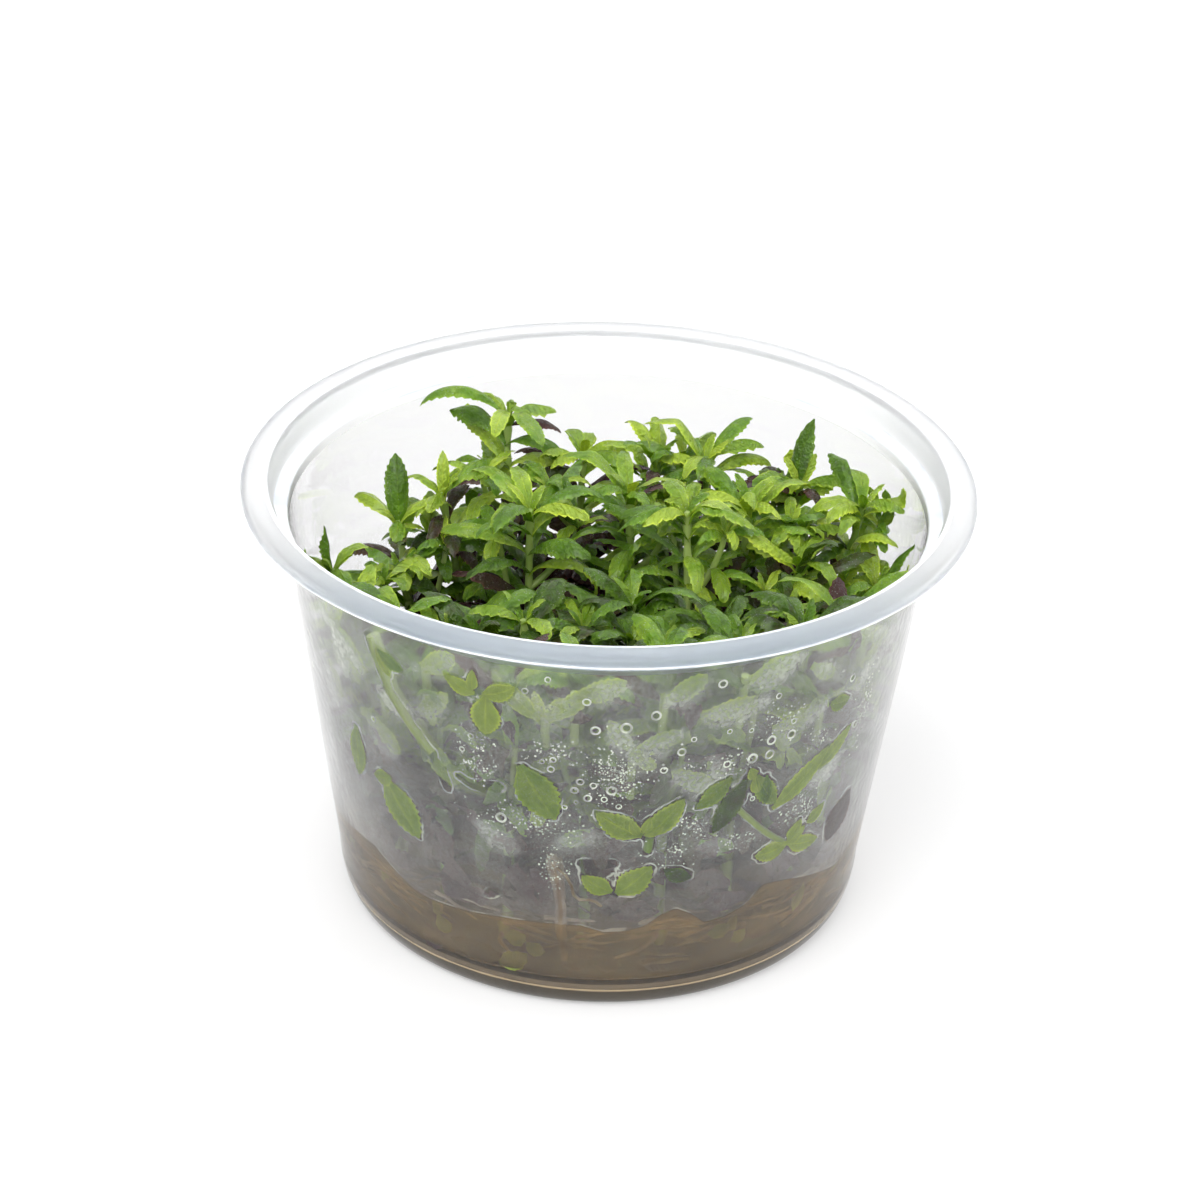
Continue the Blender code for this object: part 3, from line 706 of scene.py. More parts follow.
class Form:
    """A shape that is copied many times: its places, faces and UV map. Its pattern object goes."""

    def __init__(self, thing):
        mesh = thing.data
        self.places = places_of(thing)
        self.faces = [tuple(face.vertices) for face in mesh.polygons]
        self.uvs = np.zeros(sum(len(face) for face in self.faces) * 2)
        if mesh.uv_layers:
            mesh.uv_layers[0].data.foreach_get("uv", self.uvs)
        bpy.data.objects.remove(thing, do_unlink=True)


def gathered(name, copies):
    """One mesh of many copies, each a form, its vertex places, its tone and its material index."""
    places, faces, uvs, tones, indices = [], [], [], [], []
    start = 0
    for form, where, tone, index in copies:
        places.append(where)
        faces += [tuple(corner + start for corner in face) for face in form.faces]
        uvs.append(form.uvs)
        tones.append(np.full(len(where), tone))
        indices += [index] * len(form.faces)
        start += len(where)
    mesh = bpy.data.meshes.new(name)
    mesh.from_pydata(np.concatenate(places).tolist(), [], faces)
    layer = mesh.uv_layers.new(name="LeafUV")
    layer.data.foreach_set("uv", np.concatenate(uvs))
    mesh.polygons.foreach_set("material_index", indices)
    thing = bpy.data.objects.new(name, mesh)
    bpy.context.collection.objects.link(thing)
    give(thing, "tone", np.concatenate(tones))
    return thing


def rounded(place):
    """A place that can be compared with others."""
    return tuple(round(value, 5) for value in place)


def leaf_form(name, rows, columns, outline, tooth, thickness):
    """One leaf: Y runs 0 to 1 along it, X from -1 to 1 across it, with a toothed edge.

    It starts as a grid whose rows are scaled to the outline. Its copy underneath is turned over and
    joined to it along the edge.
    """
    deselect()
    bpy.ops.mesh.primitive_grid_add(x_subdivisions=columns, y_subdivisions=rows, size=2,
                                    location=(0.0, 0.0, 0.0))
    leaf = named(name)
    edit()
    for row in range(rows + 1):
        y = -1 + 2 * row / rows
        share = row / rows
        toothed = row % 2 == 1 and 0.1 < share < 0.97
        width = float(np.interp(share, *outline)) * (1.0 + tooth if toothed else 1.0 - 0.6 * tooth)
        select_where(leaf, lambda vert: abs(vert.co.y - y) < 0.01)
        bpy.ops.transform.resize(value=(width, 1.0, 1.0), center_override=(0.0, 0.0, 0.0))
        if toothed:
            select_where(leaf, lambda vert: abs(vert.co.y - y) < 0.01 and abs(vert.co.x) > 0.98 * width)
            move(0.0, 0.8 / rows, 0.0)
    bpy.ops.mesh.select_all(action="SELECT")
    bpy.ops.transform.resize(value=(1.0, 0.5, 1.0), center_override=(0.0, 0.0, 0.0))
    move(0.0, 0.5, 0.0)
    mesh = bmesh.from_edit_mesh(leaf.data)
    inner = {rounded(vert.co) for vert in mesh.verts if not vert.is_boundary}
    bpy.ops.mesh.duplicate()
    bpy.ops.mesh.flip_normals()
    mesh = bmesh.from_edit_mesh(leaf.data)
    for vert in mesh.verts:
        vert.select = vert.select and rounded(vert.co) in inner
    mesh.select_flush(False)
    bmesh.update_edit_mesh(leaf.data)
    move(0.0, 0.0, -thickness)
    select_where(leaf, lambda vert: abs(vert.co.z) < 1e-6 and rounded(vert.co) in inner)
    move(0.0, 0.0, thickness)
    merge(0.00001)
    leave_edit()
    return Form(leaf)


# Half width of a leaf along its length: shares of the length, shares of the widest place
NARROW = ((0.0, 0.05, 0.12, 0.25, 0.4, 0.55, 0.7, 0.83, 0.93, 1.0),
          (0.5, 0.46, 0.5, 0.74, 0.94, 1.0, 0.92, 0.7, 0.42, 0.08))
BROAD = ((0.0, 0.05, 0.12, 0.25, 0.4, 0.55, 0.7, 0.83, 0.93, 1.0),
         (0.22, 0.28, 0.46, 0.82, 1.0, 0.98, 0.8, 0.54, 0.27, 0.05))
# Ripples along a leaf's edge, and how high its halves arch between the midrib and the edge
RIPPLES = 15.0
ARCHED = 0.14
# How far leaves that stick to the wall are let into its inner face, and how far others keep off it
LET_IN = 0.14
KEPT_OFF = 0.06
# How far a leaf and a stem on the wall sag in their middle
LEAF_SAG = 0.35
STEM_SAG = 0.6


def laid_leaf(form, line, width, cup, wave, phase, push=0.0, hook=0.0):
    """Vertex places in metres of a leaf form that follows a middle line.

    cup raises the edges, wave ripples them, hook bends the tip down, and push moves the parts that are
    pressed against the wall outwards until they lie on it.
    """
    points, ahead, side, pressed = (np.array(column) for column in zip(*line))
    normal = np.cross(ahead, side)
    normal /= np.linalg.norm(normal, axis=1)[:, None]
    across, along, up = form.places.T
    spot = np.clip(along, 0.0, 1.0) * (len(line) - 1)
    low = np.minimum(spot.astype(int), len(line) - 2)
    part = (spot - low)[:, None]
    held = pressed[low] * (1 - part[:, 0]) + pressed[low + 1] * part[:, 0]
    middle, sideways, upward = (column[low] * (1 - part) + column[low + 1] * part
                                for column in (points, side, normal))
    half = 0.5 * width
    ripple = np.sin(phase + RIPPLES * along + 1.2 * np.sign(across))
    lift = cup * across ** 2 + wave * np.abs(across) * ripple
    lift += ARCHED * (1.0 - np.abs(2.0 * np.abs(across) - 1.0))
    lift = lift * half * (1.0 - 0.8 * held) + up * np.minimum(half, 1.6)
    lift -= hook * (1.0 - held) * np.clip(along - 0.45, 0.0, 1.0) ** 2 / 0.3
    places = middle + sideways * (across * half)[:, None] + upward * lift[:, None]
    reach = np.hypot(places[:, 0], places[:, 1])
    inner = wall_outer_radius(places[:, 2]) - WALL
    target = np.minimum(reach + held * push, inner + (LET_IN if push else -KEPT_OFF))
    places[:, :2] *= (target / reach)[:, None]
    return places * MM


def wall_place(azimuth, height, depth=0.0):
    """A point on the wall's inner face, in millimetres, depth of it inside the tub."""
    radius = wall_outer_radius(height) - WALL - depth
    angle = math.radians(azimuth)
    return Vector((radius * math.cos(angle), radius * math.sin(angle), height))


def wall_path(ends, share, bow=0.0, depth=0.0):
    """A point of a line along the wall between two azimuths and heights, which sags in its middle."""
    azimuth, height, end_azimuth, end_height = ends[:4]
    return wall_place(azimuth + (end_azimuth - azimuth) * share,
                      height + (end_height - height) * share - bow * math.sin(math.pi * share), depth)


def stuck_line(leaf, depth):
    """Middle line of a leaf that lies on the wall."""
    spots = [wall_path(leaf, index / LEAF_STEPS, LEAF_SAG, depth) for index in range(LEAF_STEPS + 1)]
    line = []
    for index, spot in enumerate(spots):
        ahead = (spots[min(index + 1, LEAF_STEPS)] - spots[max(index - 1, 0)]).normalized()
        side = Vector((spot.x, spot.y, 0.0)).normalized().cross(ahead).normalized()
        line.append((spot, ahead, side, 1.0))
    return line


def gel_edge(azimuth):
    """Height of the gel's edge on the wall at an azimuth in degrees, scalar or array."""
    around, heights = zip(*GEL_EDGE)
    turned_to = (np.asarray(azimuth) + 180.0) % 360.0 - 180.0
    return np.interp(turned_to, around, heights)


# Materials

# Indices of refraction
PLASTIC_IOR = 1.49
GEL_IOR = 1.34
WATER_IOR = 1.33
LEAF_IOR = 1.42
ROOT_IOR = 1.4


def once(store, name, make):
    """A datablock that is made the first time it is asked for."""
    return store.get(name) or make()


class Shading:
    """Short hand for laying out the nodes of one material, group or world."""

    def __init__(self, tree, made=None):
        self.tree = tree
        self.made = made
        self.shader = tree.nodes.get("Principled BSDF")

    def join(self, node, key, value):
        """Give an input of a node a value or a socket; a colour has three parts."""
        socket = node.inputs[key]
        if isinstance(value, bpy.types.NodeSocket):
            self.tree.links.new(value, socket)
        else:
            socket.default_value = (*value, 1.0) if socket.type == "RGBA" else value

    def feed(self, key, value):
        """Give an input of the material's shader a value or a socket."""
        self.join(self.shader, key, value)

    def add(self, kind, inputs=None, **settings):
        """A new node with its settings and its inputs, each a value or a socket."""
        made = self.tree.nodes.new(kind)
        for key, value in settings.items():
            setattr(made, key, value)
        for key, value in (inputs or {}).items():
            self.join(made, key, value)
        return made

    def maths(self, operation, first, second=0.0, third=0.0):
        """The result of a Math node."""
        return self.add("ShaderNodeMath", {0: first, 1: second, 2: third}, operation=operation).outputs[0]

    def span(self, value, low, high, to_low=0.0, to_high=1.0):
        """A value mapped smoothly from one span to another and held at its ends."""
        return self.add("ShaderNodeMapRange", {"Value": value, "From Min": low, "From Max": high,
                                               "To Min": to_low, "To Max": to_high},
                        clamp=True, interpolation_type="SMOOTHSTEP").outputs[0]

    def mix(self, share, first, second, blend="MIX"):
        """Two colours mixed."""
        return self.add("ShaderNodeMix", {0: share, 6: first, 7: second},
                        data_type="RGBA", blend_type=blend).outputs[2]

    def ramp(self, value, *stops):
        """A colour ramp over a value, its stops as places and colours."""
        made = self.add("ShaderNodeValToRGB", {0: value})
        elements = made.color_ramp.elements
        while len(elements) < len(stops):
            elements.new(0.5)
        for element, (place, shade) in zip(elements, stops):
            element.position = place
            element.color = (*shade, 1.0)
        return made.outputs[0]

    def attribute(self, name):
        """A number that the mesh holds for each vertex."""
        return self.add("ShaderNodeAttribute", attribute_name=name).outputs["Fac"]

    def object_place(self, scale=(1.0, 1.0, 1.0)):
        """Object coordinates, scaled."""
        place = self.add("ShaderNodeTexCoord").outputs["Object"]
        return self.add("ShaderNodeMapping", {"Vector": place, "Scale": scale}).outputs[0]

    def part(self, vector, axis):
        """One part of a vector."""
        return self.add("ShaderNodeSeparateXYZ", {0: vector}).outputs[axis]

    def noise(self, place, scale, detail):
        """A noise value."""
        return self.add("ShaderNodeTexNoise", {"Vector": place, "Scale": scale, "Detail": detail,
                                               "Roughness": 0.5}).outputs[0]

    def cells(self, place, scale):
        """Distance from the middles of scattered cells."""
        return self.add("ShaderNodeTexVoronoi", {"Vector": place, "Scale": scale}).outputs["Distance"]

    def bump(self, height, strength, distance):
        """A normal from a height."""
        return self.add("ShaderNodeBump", {"Height": height, "Strength": strength,
                                           "Distance": distance}).outputs[0]

    def mottled(self, scale, grain, place=None):
        """Outputs of the shared uneven-surface group."""
        inputs = {"Place": self.object_place() if place is None else place, "Scale": scale, "Grain": grain}
        tree = once(bpy.data.node_groups, "wet_mottle", mottle_group)
        return self.add("ShaderNodeGroup", inputs, node_tree=tree).outputs

    def wear(self, scale, grain, rough, strength, distance, place=None):
        """Uneven roughness and a slightly uneven surface; the patches are handed back."""
        made = self.mottled(scale, grain, place)
        self.feed("Roughness", self.span(made["Patch"], 0.3, 0.7, *rough))
        self.feed("Normal", self.bump(made["Height"], strength, distance))
        return made["Patch"]

    def let_through(self, share, shade):
        """A share of the light passes in a colour."""
        glow = self.add("ShaderNodeBsdfTranslucent", {"Color": shade})
        both = self.add("ShaderNodeMixShader", {0: share, 1: self.shader.outputs[0], 2: glow.outputs[0]})
        self.join(self.tree.nodes["Material Output"], "Surface", both.outputs[0])


def tinted(shade, *by):
    """A colour times one number or three."""
    return tuple(value * tint for value, tint in zip(shade, by if len(by) == 3 else by * 3))


def material(name, **settings):
    """Short hand for a new material whose Principled shader has these settings."""
    made = bpy.data.materials.new(name)
    made.use_nodes = True
    lay = Shading(made.node_tree, made)
    for key, value in settings.items():
        lay.feed(key.replace("_", " ").title().replace("Ior", "IOR"), value)
    return lay


def group_of(name, inputs, outputs):
    """A new node group with named sockets: its short hand, its inputs and its output node."""
    tree = bpy.data.node_groups.new(name, "ShaderNodeTree")
    for key, value in inputs.items():
        kind = "NodeSocketVector" if value is None else "NodeSocketFloat"
        socket = tree.interface.new_socket(name=key, in_out="INPUT", socket_type=kind)
        if value is not None:
            socket.default_value = value
    for key in outputs:
        tree.interface.new_socket(name=key, in_out="OUTPUT", socket_type="NodeSocketFloat")
    lay = Shading(tree)
    return lay, lay.add("NodeGroupInput").outputs, lay.add("NodeGroupOutput")


def vein_group():
    """Midrib and side veins from a leaf's own UV map: how much of a vein there is, and its height."""
    lay, given, end = group_of("leaf_veins", {"UV": None, "Side veins": 7.0, "Rib width": 0.1},
                               ("Vein", "Height"))
    across = lay.maths("ABSOLUTE", lay.maths("MULTIPLY_ADD", lay.part(given["UV"], 0), 2.0, -1.0))
    rib = lay.span(across, given["Rib width"], 0.0)
    slanted = lay.maths("MULTIPLY_ADD", across, -0.16, lay.part(given["UV"], 1))
    cycle = lay.maths("FRACT", lay.maths("MULTIPLY", slanted, given["Side veins"]))
    near = lay.maths("ABSOLUTE", lay.maths("SUBTRACT", cycle, 0.5))
    side_vein = lay.maths("MULTIPLY", lay.span(near, 0.12, 0.0), lay.span(across, 0.95, 0.3, 0.0, 0.4))
    vein = lay.maths("MAXIMUM", rib, side_vein)
    height = lay.maths("MULTIPLY_ADD", lay.span(near, 0.0, 0.5), 0.4, lay.maths("MULTIPLY", vein, -1.0))
    lay.join(end, "Vein", vein)
    lay.join(end, "Height", height)
    return lay.tree


def mottle_group():
    """Uneven colour and a fine uneven surface from Object coordinates."""
    lay, given, end = group_of("wet_mottle", {"Place": None, "Scale": 300.0, "Grain": 2600.0},
                               ("Patch", "Height"))
    patch = lay.noise(given["Place"], given["Scale"], 1.0)
    grain = lay.noise(given["Place"], given["Grain"], 0.0)
    lay.join(end, "Patch", patch)
    lay.join(end, "Height", lay.maths("ADD", lay.maths("MULTIPLY", patch, 0.7),
                                      lay.maths("MULTIPLY", grain, 0.3)))
    return lay.tree


def wall_material(look):
    """Glossy plastic of the outer wall: clear with a trace of milk, and very slightly wavy."""
    lay = material("clear_wall", base_color=look.wall_colour, transmission_weight=look.wall_clarity,
                   ior=PLASTIC_IOR)
    lay.wear(90.0, 900.0, (0.04, 0.12), 0.12, 0.0004)
    return lay.made


def fogged_material(look):
    """Inner face of the wall: frosted by fine condensation above the gel, and duller where it is dry."""
    lay = material("fogged_wall", transmission_weight=1.0, ior=PLASTIC_IOR)
    fog = lay.attribute("fog")
    rough = lay.maths("MULTIPLY_ADD", fog, look.fog_roughness, 0.05)
    uneven_rough = lay.span(lay.mottled(140.0, 1500.0)["Patch"], 0.3, 0.7, 0.6, 1.2)
    lay.feed("Roughness", lay.maths("MULTIPLY", rough, uneven_rough))
    lay.feed("Base Color", lay.mix(fog, tinted(look.wall_colour, 0.87), look.wall_colour))
    return lay.made


def rim_material(look):
    """The thick rim: the same plastic, milky where it is thick, and painted darker and bluer at the front, as
    shade from the dark plants seen through it.
    """
    lay = material("milky_rim", transmission_weight=look.rim_clarity, ior=PLASTIC_IOR)
    place = lay.object_place()
    lay.wear(60.0, 700.0, (0.34, 0.44), 0.05, 0.0003, place)
    # Painted shade: towards the front the rim turns to the darker blue front colour
    ahead = lay.span(lay.part(place, 1), -0.02, -0.046)
    lay.feed("Base Color", lay.mix(ahead, (0.985, 0.992, 1.0), look.rim_front_shade_colour))
    return lay.made


def foot_material(look):
    """Foot and underside: the same plastic, painted dark brown as the shade of the gel and table that show
    through it, and with a painted highlight line where the floor meets it."""
    lay = material("foot_plastic", transmission_weight=0.2, ior=PLASTIC_IOR)
    patch = lay.wear(120.0, 1200.0, (0.1, 0.2), 0.15, 0.0004)
    shift = lay.maths("MULTIPLY_ADD", patch, 0.0004, -0.0002)
    # Painted highlight: a pale line at the height where the floor meets the foot
    line = lay.span(lay.maths("ADD", lay.part(lay.object_place(), 2), shift), 0.0029, 0.0032)
    # Painted shade: the foot's dark brown, uneven in patches
    dark = lay.ramp(patch, (0.3, tinted(look.foot_shade_colour, 0.8)), (0.7, tinted(look.foot_shade_colour, 1.2)))
    lay.feed("Base Color", lay.mix(line, dark, look.floor_line_highlight_colour))
    return lay.made


def edge_highlight_material(_):
    """The rim's thin edges and the ledge, painted near white as highlights where they catch the light."""
    lay = material("rim_edge", transmission_weight=0.2, ior=PLASTIC_IOR)
    patch = lay.wear(200.0, 1200.0, (0.44, 0.56), 0.05, 0.0003)
    lay.feed("Base Color", lay.ramp(patch, (0.35, (0.8, 0.84, 0.9)), (0.55, (0.96, 0.98, 1.0))))
    return lay.made


def film_material(look):
    """Condensation: a pale grainy veil with holes where something wets the wall, each with a painted
    highlight along its edge.
    """
    lay = material("condensation", roughness=0.5, ior=WATER_IOR)
    edge, drop, veil, dense = (lay.attribute(name) for name in ("edge", "drop", "veil", "dense"))
    place = lay.object_place()
    cells = lay.cells(place, 2100.0)
    beads = lay.maths("MULTIPLY", lay.span(cells, 0.42, 0.28), lay.span(cells, 0.06, 0.2))
    grain = lay.noise(place, 1700.0, 1.0)
    mist = lay.maths("MULTIPLY", veil, lay.span(grain, 0.32, 0.68, 0.6, 1.4))
    fog = lay.maths("MULTIPLY_ADD", beads, dense, mist)
    open_fog = lay.maths("MULTIPLY", lay.span(edge, 0.1, 0.3), lay.span(drop, 0.0, 0.2))
    fog = lay.maths("MULTIPLY", lay.maths("MULTIPLY", fog, look.fog_strength), open_fog)
    # Painted highlight: a bright line along the edge of each wet patch and of the gel
    line = lay.maths("MULTIPLY", lay.span(edge, -0.02, 0.1), lay.span(edge, 0.28, 0.16))
    line = lay.maths("MULTIPLY", line, lay.span(lay.noise(place, 300.0, 1.0), 0.42, 0.62, 0.05, 1.0))
    lay.feed("Alpha", lay.maths("MINIMUM", lay.maths("MULTIPLY_ADD", line, look.edge_highlight_strength, fog), 1.0))
    warm = tinted(look.fog_colour, 1.0, 0.9, 0.76)
    lay.feed("Base Color", lay.ramp(lay.span(lay.part(place, 2), 0.015, 0.03), (0.0, warm),
                                    (1.0, look.fog_colour)))
    return lay.made


def drop_material():
    """Clear water drops."""
    lay = material("water_drops", base_color=(1.0, 1.0, 1.0), roughness=0.0, transmission_weight=1.0,
                   ior=WATER_IOR)
    lay.feed("Normal", lay.bump(lay.noise(lay.object_place(), 1500.0, 0.0), 0.1, 0.00005))
    return lay.made


def glint_material():
    """The foot ring of a drop, painted bright as a highlight, and the finest droplets, which scatter the
    light; both get a green tint and a faint glow of painted light.
    """
    # Painted light: a green-tinted white that glows faintly
    white = (0.94, 1.0, 0.84)
    lay = material("bright_droplets", base_color=white, roughness=0.25, ior=WATER_IOR,
                   emission_color=white, emission_strength=0.1)
    lay.feed("Alpha", lay.span(lay.noise(lay.object_place(), 700.0, 0.0), 0.35, 0.6, 0.45, 0.95))
    lay.made.cycles.emission_sampling = "NONE"
    return lay.made


def leaf_material(look):
    """Wet leaf: colour from its tone, paler veins, a margin painted paler as light through its thin edge,
    pale specks that are partly painted glints, and light through it.
    """
    lay = material("leaf", ior=LEAF_IOR, coat_weight=0.5, coat_roughness=0.1)
    tone = lay.attribute("tone")
    place = lay.object_place()
    patch = lay.mottled(330.0, 3000.0, place)
    uv = lay.add("ShaderNodeUVMap", uv_map="LeafUV").outputs[0]
    vein = lay.add("ShaderNodeGroup", {"UV": uv, "Side veins": 9.0, "Rib width": 0.14},
                   node_tree=vein_group()).outputs
    shown = lay.maths("ADD", tone, lay.maths("MULTIPLY_ADD", patch["Patch"], 0.44, -0.22))
    shown = lay.maths("MULTIPLY_ADD", lay.noise(place, 1250.0, 1.0), 0.36,
                      lay.maths("SUBTRACT", shown, 0.18))
    base = lay.ramp(shown, (0.0, look.old_colour), (0.2, look.brown_colour), (0.38, look.deep_colour),
                    (0.6, look.green_colour), (1.0, look.young_colour))
    from_rib = lay.maths("ABSOLUTE", lay.maths("MULTIPLY_ADD", lay.part(uv, 0), 2.0, -1.0))
    # Painted light: the margin is paler and yellower, as light through the thin edge; the veins are paler in
    # their own colour
    margin = lay.span(from_rib, 0.68, 1.0, 0.0, 0.85)
    pale = lay.maths("MAXIMUM", margin, lay.maths("MULTIPLY", vein["Vein"], 0.5))
    base = lay.mix(pale, base, lay.mix(1.0, base, (1.95, 1.65, 1.35), "MULTIPLY"))
    # Pale specks: tiny dots and droplets on the leaf, partly painted glints
    cells = lay.cells(place, 2300.0)
    specks = lay.maths("MULTIPLY", lay.span(cells, 0.26, 0.14), lay.span(patch["Patch"], 0.46, 0.6))
    lay.feed("Base Color", lay.mix(lay.maths("MULTIPLY", specks, 0.7), base, (0.7, 0.76, 0.56)))
    lay.feed("Roughness", lay.span(patch["Height"], 0.35, 0.65, 0.18, 0.5))
    height = lay.maths("MULTIPLY_ADD", patch["Height"], 4.0, lay.maths("MULTIPLY", vein["Height"], 0.55))
    height = lay.maths("MULTIPLY_ADD", specks, 0.8, height)
    lay.feed("Normal", lay.bump(height, 1.0, 0.00025))
    lay.let_through(look.translucency, lay.ramp(
        tone, (0.0, (0.2, 0.07, 0.04)), (0.2, (0.26, 0.16, 0.04)), (0.38, (0.26, 0.42, 0.03)),
        (0.6, (0.5, 0.76, 0.05)), (1.0, (0.88, 0.97, 0.2))))
    return lay.made


def stem_material():
    """Smooth juicy stem, pale green to tan."""
    lay = material("stem", ior=LEAF_IOR, coat_weight=0.4, coat_roughness=0.12)
    tone = lay.attribute("tone")
    patch = lay.wear(700.0, 3500.0, (0.25, 0.42), 0.3, 0.0002, lay.object_place((1.0, 1.0, 0.25)))
    shown = lay.maths("ADD", tone, lay.maths("MULTIPLY_ADD", patch, 0.3, -0.15))
    lay.feed("Base Color", lay.ramp(shown, (0.0, (0.13, 0.08, 0.05)), (0.35, (0.17, 0.2, 0.05)),
                                    (0.65, (0.26, 0.44, 0.07)), (1.0, (0.5, 0.62, 0.2))))
    lay.let_through(0.35, lay.ramp(tone, (0.0, (0.3, 0.2, 0.1)), (0.4, (0.4, 0.5, 0.1)),
                                   (1.0, (0.8, 0.95, 0.35))))
    return lay.made


def root_material():
    """Fleshy roots, cream to tan."""
    lay = material("root", ior=ROOT_IOR)
    patch = lay.wear(260.0, 2500.0, (0.35, 0.55), 0.4, 0.0002)
    lay.feed("Base Color", lay.ramp(patch, (0.3, (0.2, 0.13, 0.08)), (0.5, (0.36, 0.27, 0.17)),
                                    (0.7, (0.58, 0.5, 0.34))))
    return lay.made


def gel_material(look):
    """Translucent brown agar: clear in a thin layer, dark through the whole tub."""
    lay = material("agar", transmission_weight=look.clarity, ior=GEL_IOR)
    patch = lay.wear(100.0, 900.0, (0.08, 0.24), 0.2, 0.0005, lay.object_place((1.0, 1.0, 2.4)))
    lay.feed("Base Color", lay.ramp(patch, (0.34, tinted(look.surface_colour, 0.62)),
                                    (0.66, look.surface_colour)))
    absorb = lay.add("ShaderNodeVolumeAbsorption", {"Color": look.depth_colour, "Density": look.density})
    lay.join(lay.tree.nodes["Material Output"], "Volume", absorb.outputs[0])
    return lay.made


def plant_materials(look):
    """Leaf and stem materials, in the order of the material slots of every plant piece."""
    return (once(bpy.data.materials, "leaf", lambda: leaf_material(look)),
            once(bpy.data.materials, "stem", stem_material))


# Pieces

# Material slots of the tub; the foot's slot holds painted shade and the edges' slot painted highlights
CLEAR, FOGGED, MILKY, FOOT_SHADE, HIGHLIGHT_EDGE = range(5)


def tub_profile():
    """Section of the tub from the middle of its underside, round the rim, to the middle of its floor."""
    foot = arc(FOOT_INNER, UNDERSIDE_Z - 0.6, 2.4, UNDERSIDE_Z - 0.6, 0, -90, 8)
    corner = arc(FOOT_OUTER, WALL_LOW_Z, WALL_LOW_RADIUS - FOOT_OUTER, WALL_LOW_Z, -90, 0, 12)
    skirt_z = HEIGHT - SKIRT_DEPTH
    wall = [(wall_outer_radius(z), z) for z in (20, 33, 46, 57)]
    step = [(WALL_HIGH_RADIUS, WALL_HIGH_Z),
            *arc(LEDGE_OUTER_RADIUS + 0.35, LEDGE_Z + 0.75, 0.5, 0.5, -70, 0, 4)]
    flange = [(46.5, skirt_z - 0.1), *arc(47.1, skirt_z + 0.1, 0.5, 0.5, 170, 90, 4), (48.7, skirt_z + 0.55),
              *arc(49.5, skirt_z + 0.35, 0.35, 0.35, 90, 10, 3), (49.8, skirt_z + 0.05),
              *arc(50.15, skirt_z + 0.2, 0.32, 0.2, -140, -20, 4)]
    shoulder = [(RIM_RADIUS, skirt_z + 0.45), *arc(RIM_FLAT_OUTER + 0.2, HEIGHT - 1.0, 1.7, 1.0, 0, 90, 8)]
    top = [(RIM_FLAT_INNER + 0.65, HEIGHT),
           *arc(RIM_FLAT_INNER + 0.3, HEIGHT - 0.4, 0.4, 0.4, 90, 180, 4), (46.2, HEIGHT - 1.6)]
    ledge = [*arc(LEDGE_OUTER_RADIUS + 0.1, LEDGE_Z + 0.5, 0.35, 0.35, 0, -80, 3),
             *arc(wall_outer_radius(LEDGE_Z) - WALL + 0.35, LEDGE_Z - 0.35, 0.35, 0.35, 90, 180, 3)]
    inner_corner_z = FLOOR_Z + FLOOR_CORNER
    inner_radius = wall_outer_radius(inner_corner_z) - WALL
    inside = [(wall_outer_radius(z) - WALL, z) for z in (*np.linspace(57.5, 20, 12), *np.linspace(19, 12, 8))]
    floor = arc(inner_radius - FLOOR_CORNER, inner_corner_z, FLOOR_CORNER, FLOOR_CORNER, 0, -90, 8)
    return [(0.0, UNDERSIDE_Z), (35.3, UNDERSIDE_Z), *foot, *corner, *wall, *step, *flange, *shoulder,
            *top, *ledge, *inside, *floor, (0.0, FLOOR_Z)]


def tub_finish(face):
    """Material slot of a face of the tub."""
    middle, facing = face.center / MM, face.normal
    reach = math.hypot(middle.x, middle.y)
    inward = facing.x * middle.x + facing.y * middle.y < 0
    # Faces that get the painted highlight: the rim's inner and outer edges and the ledge
    inner_edge = RIM_FLAT_INNER < reach < 47.4 and middle.z > HEIGHT - 0.3
    outer_edge = reach > 49.8 and HEIGHT - 1.7 < middle.z < HEIGHT - 1.25
    ledge = facing.z > -0.05 and LEDGE_Z - 0.45 < middle.z < LEDGE_Z + 0.6 and reach < 46.1
    if inner_edge or outer_edge or ledge:
        return HIGHLIGHT_EDGE
    if middle.z > LEDGE_Z - (2.2 if inward else 0.4):
        return MILKY
    if middle.z < UNDERSIDE_Z + 0.1:
        return FOOT_SHADE
    return FOGGED if inward and middle.z > FLOOR_Z - 0.1 and reach > 35 else CLEAR


def round_places(thing):
    """Vertex places in millimetres, and their azimuths in degrees."""
    places = places_of(thing) / MM
    return places, np.degrees(np.arctan2(places[:, 1], places[:, 0]))


def ramped(values, low, high):
    """Values mapped from a span to 0 to 1 and held at its ends."""
    return np.clip((values - low) / (high - low), 0.0, 1.0)


def front_share(azimuth, height):
    """1 on the front of the wall and low down, 0 on the clear upper back wall; arrays."""
    behind = np.abs((azimuth + 90.0 + 180.0) % 360.0 - 180.0)
    return 1.0 - ramped(behind, 62.0, 84.0) * ramped(height, 34.0, 42.0)


def build_tub(look):
    """The tub, with clear outer faces, fogged inner faces, a milky rim whose front is painted darker as
    shade, edges painted white as highlights, and a foot painted dark brown as shade.
    """
    tub = turned(tub_profile(), "tub", look.segments)
    makes = (wall_material, fogged_material, rim_material, foot_material, edge_highlight_material)
    coat(tub, *[make(look) for make in makes])
    for face in tub.data.polygons:
        face.material_index = tub_finish(face)
    places, azimuth = round_places(tub)
    above = np.clip(places[:, 2] - gel_edge(azimuth) + 0.5, 0.0, 1.0)
    give(tub, "fog", above * front_share(azimuth, places[:, 2]))
    hand_over(tub, 35, "tub", "cup")


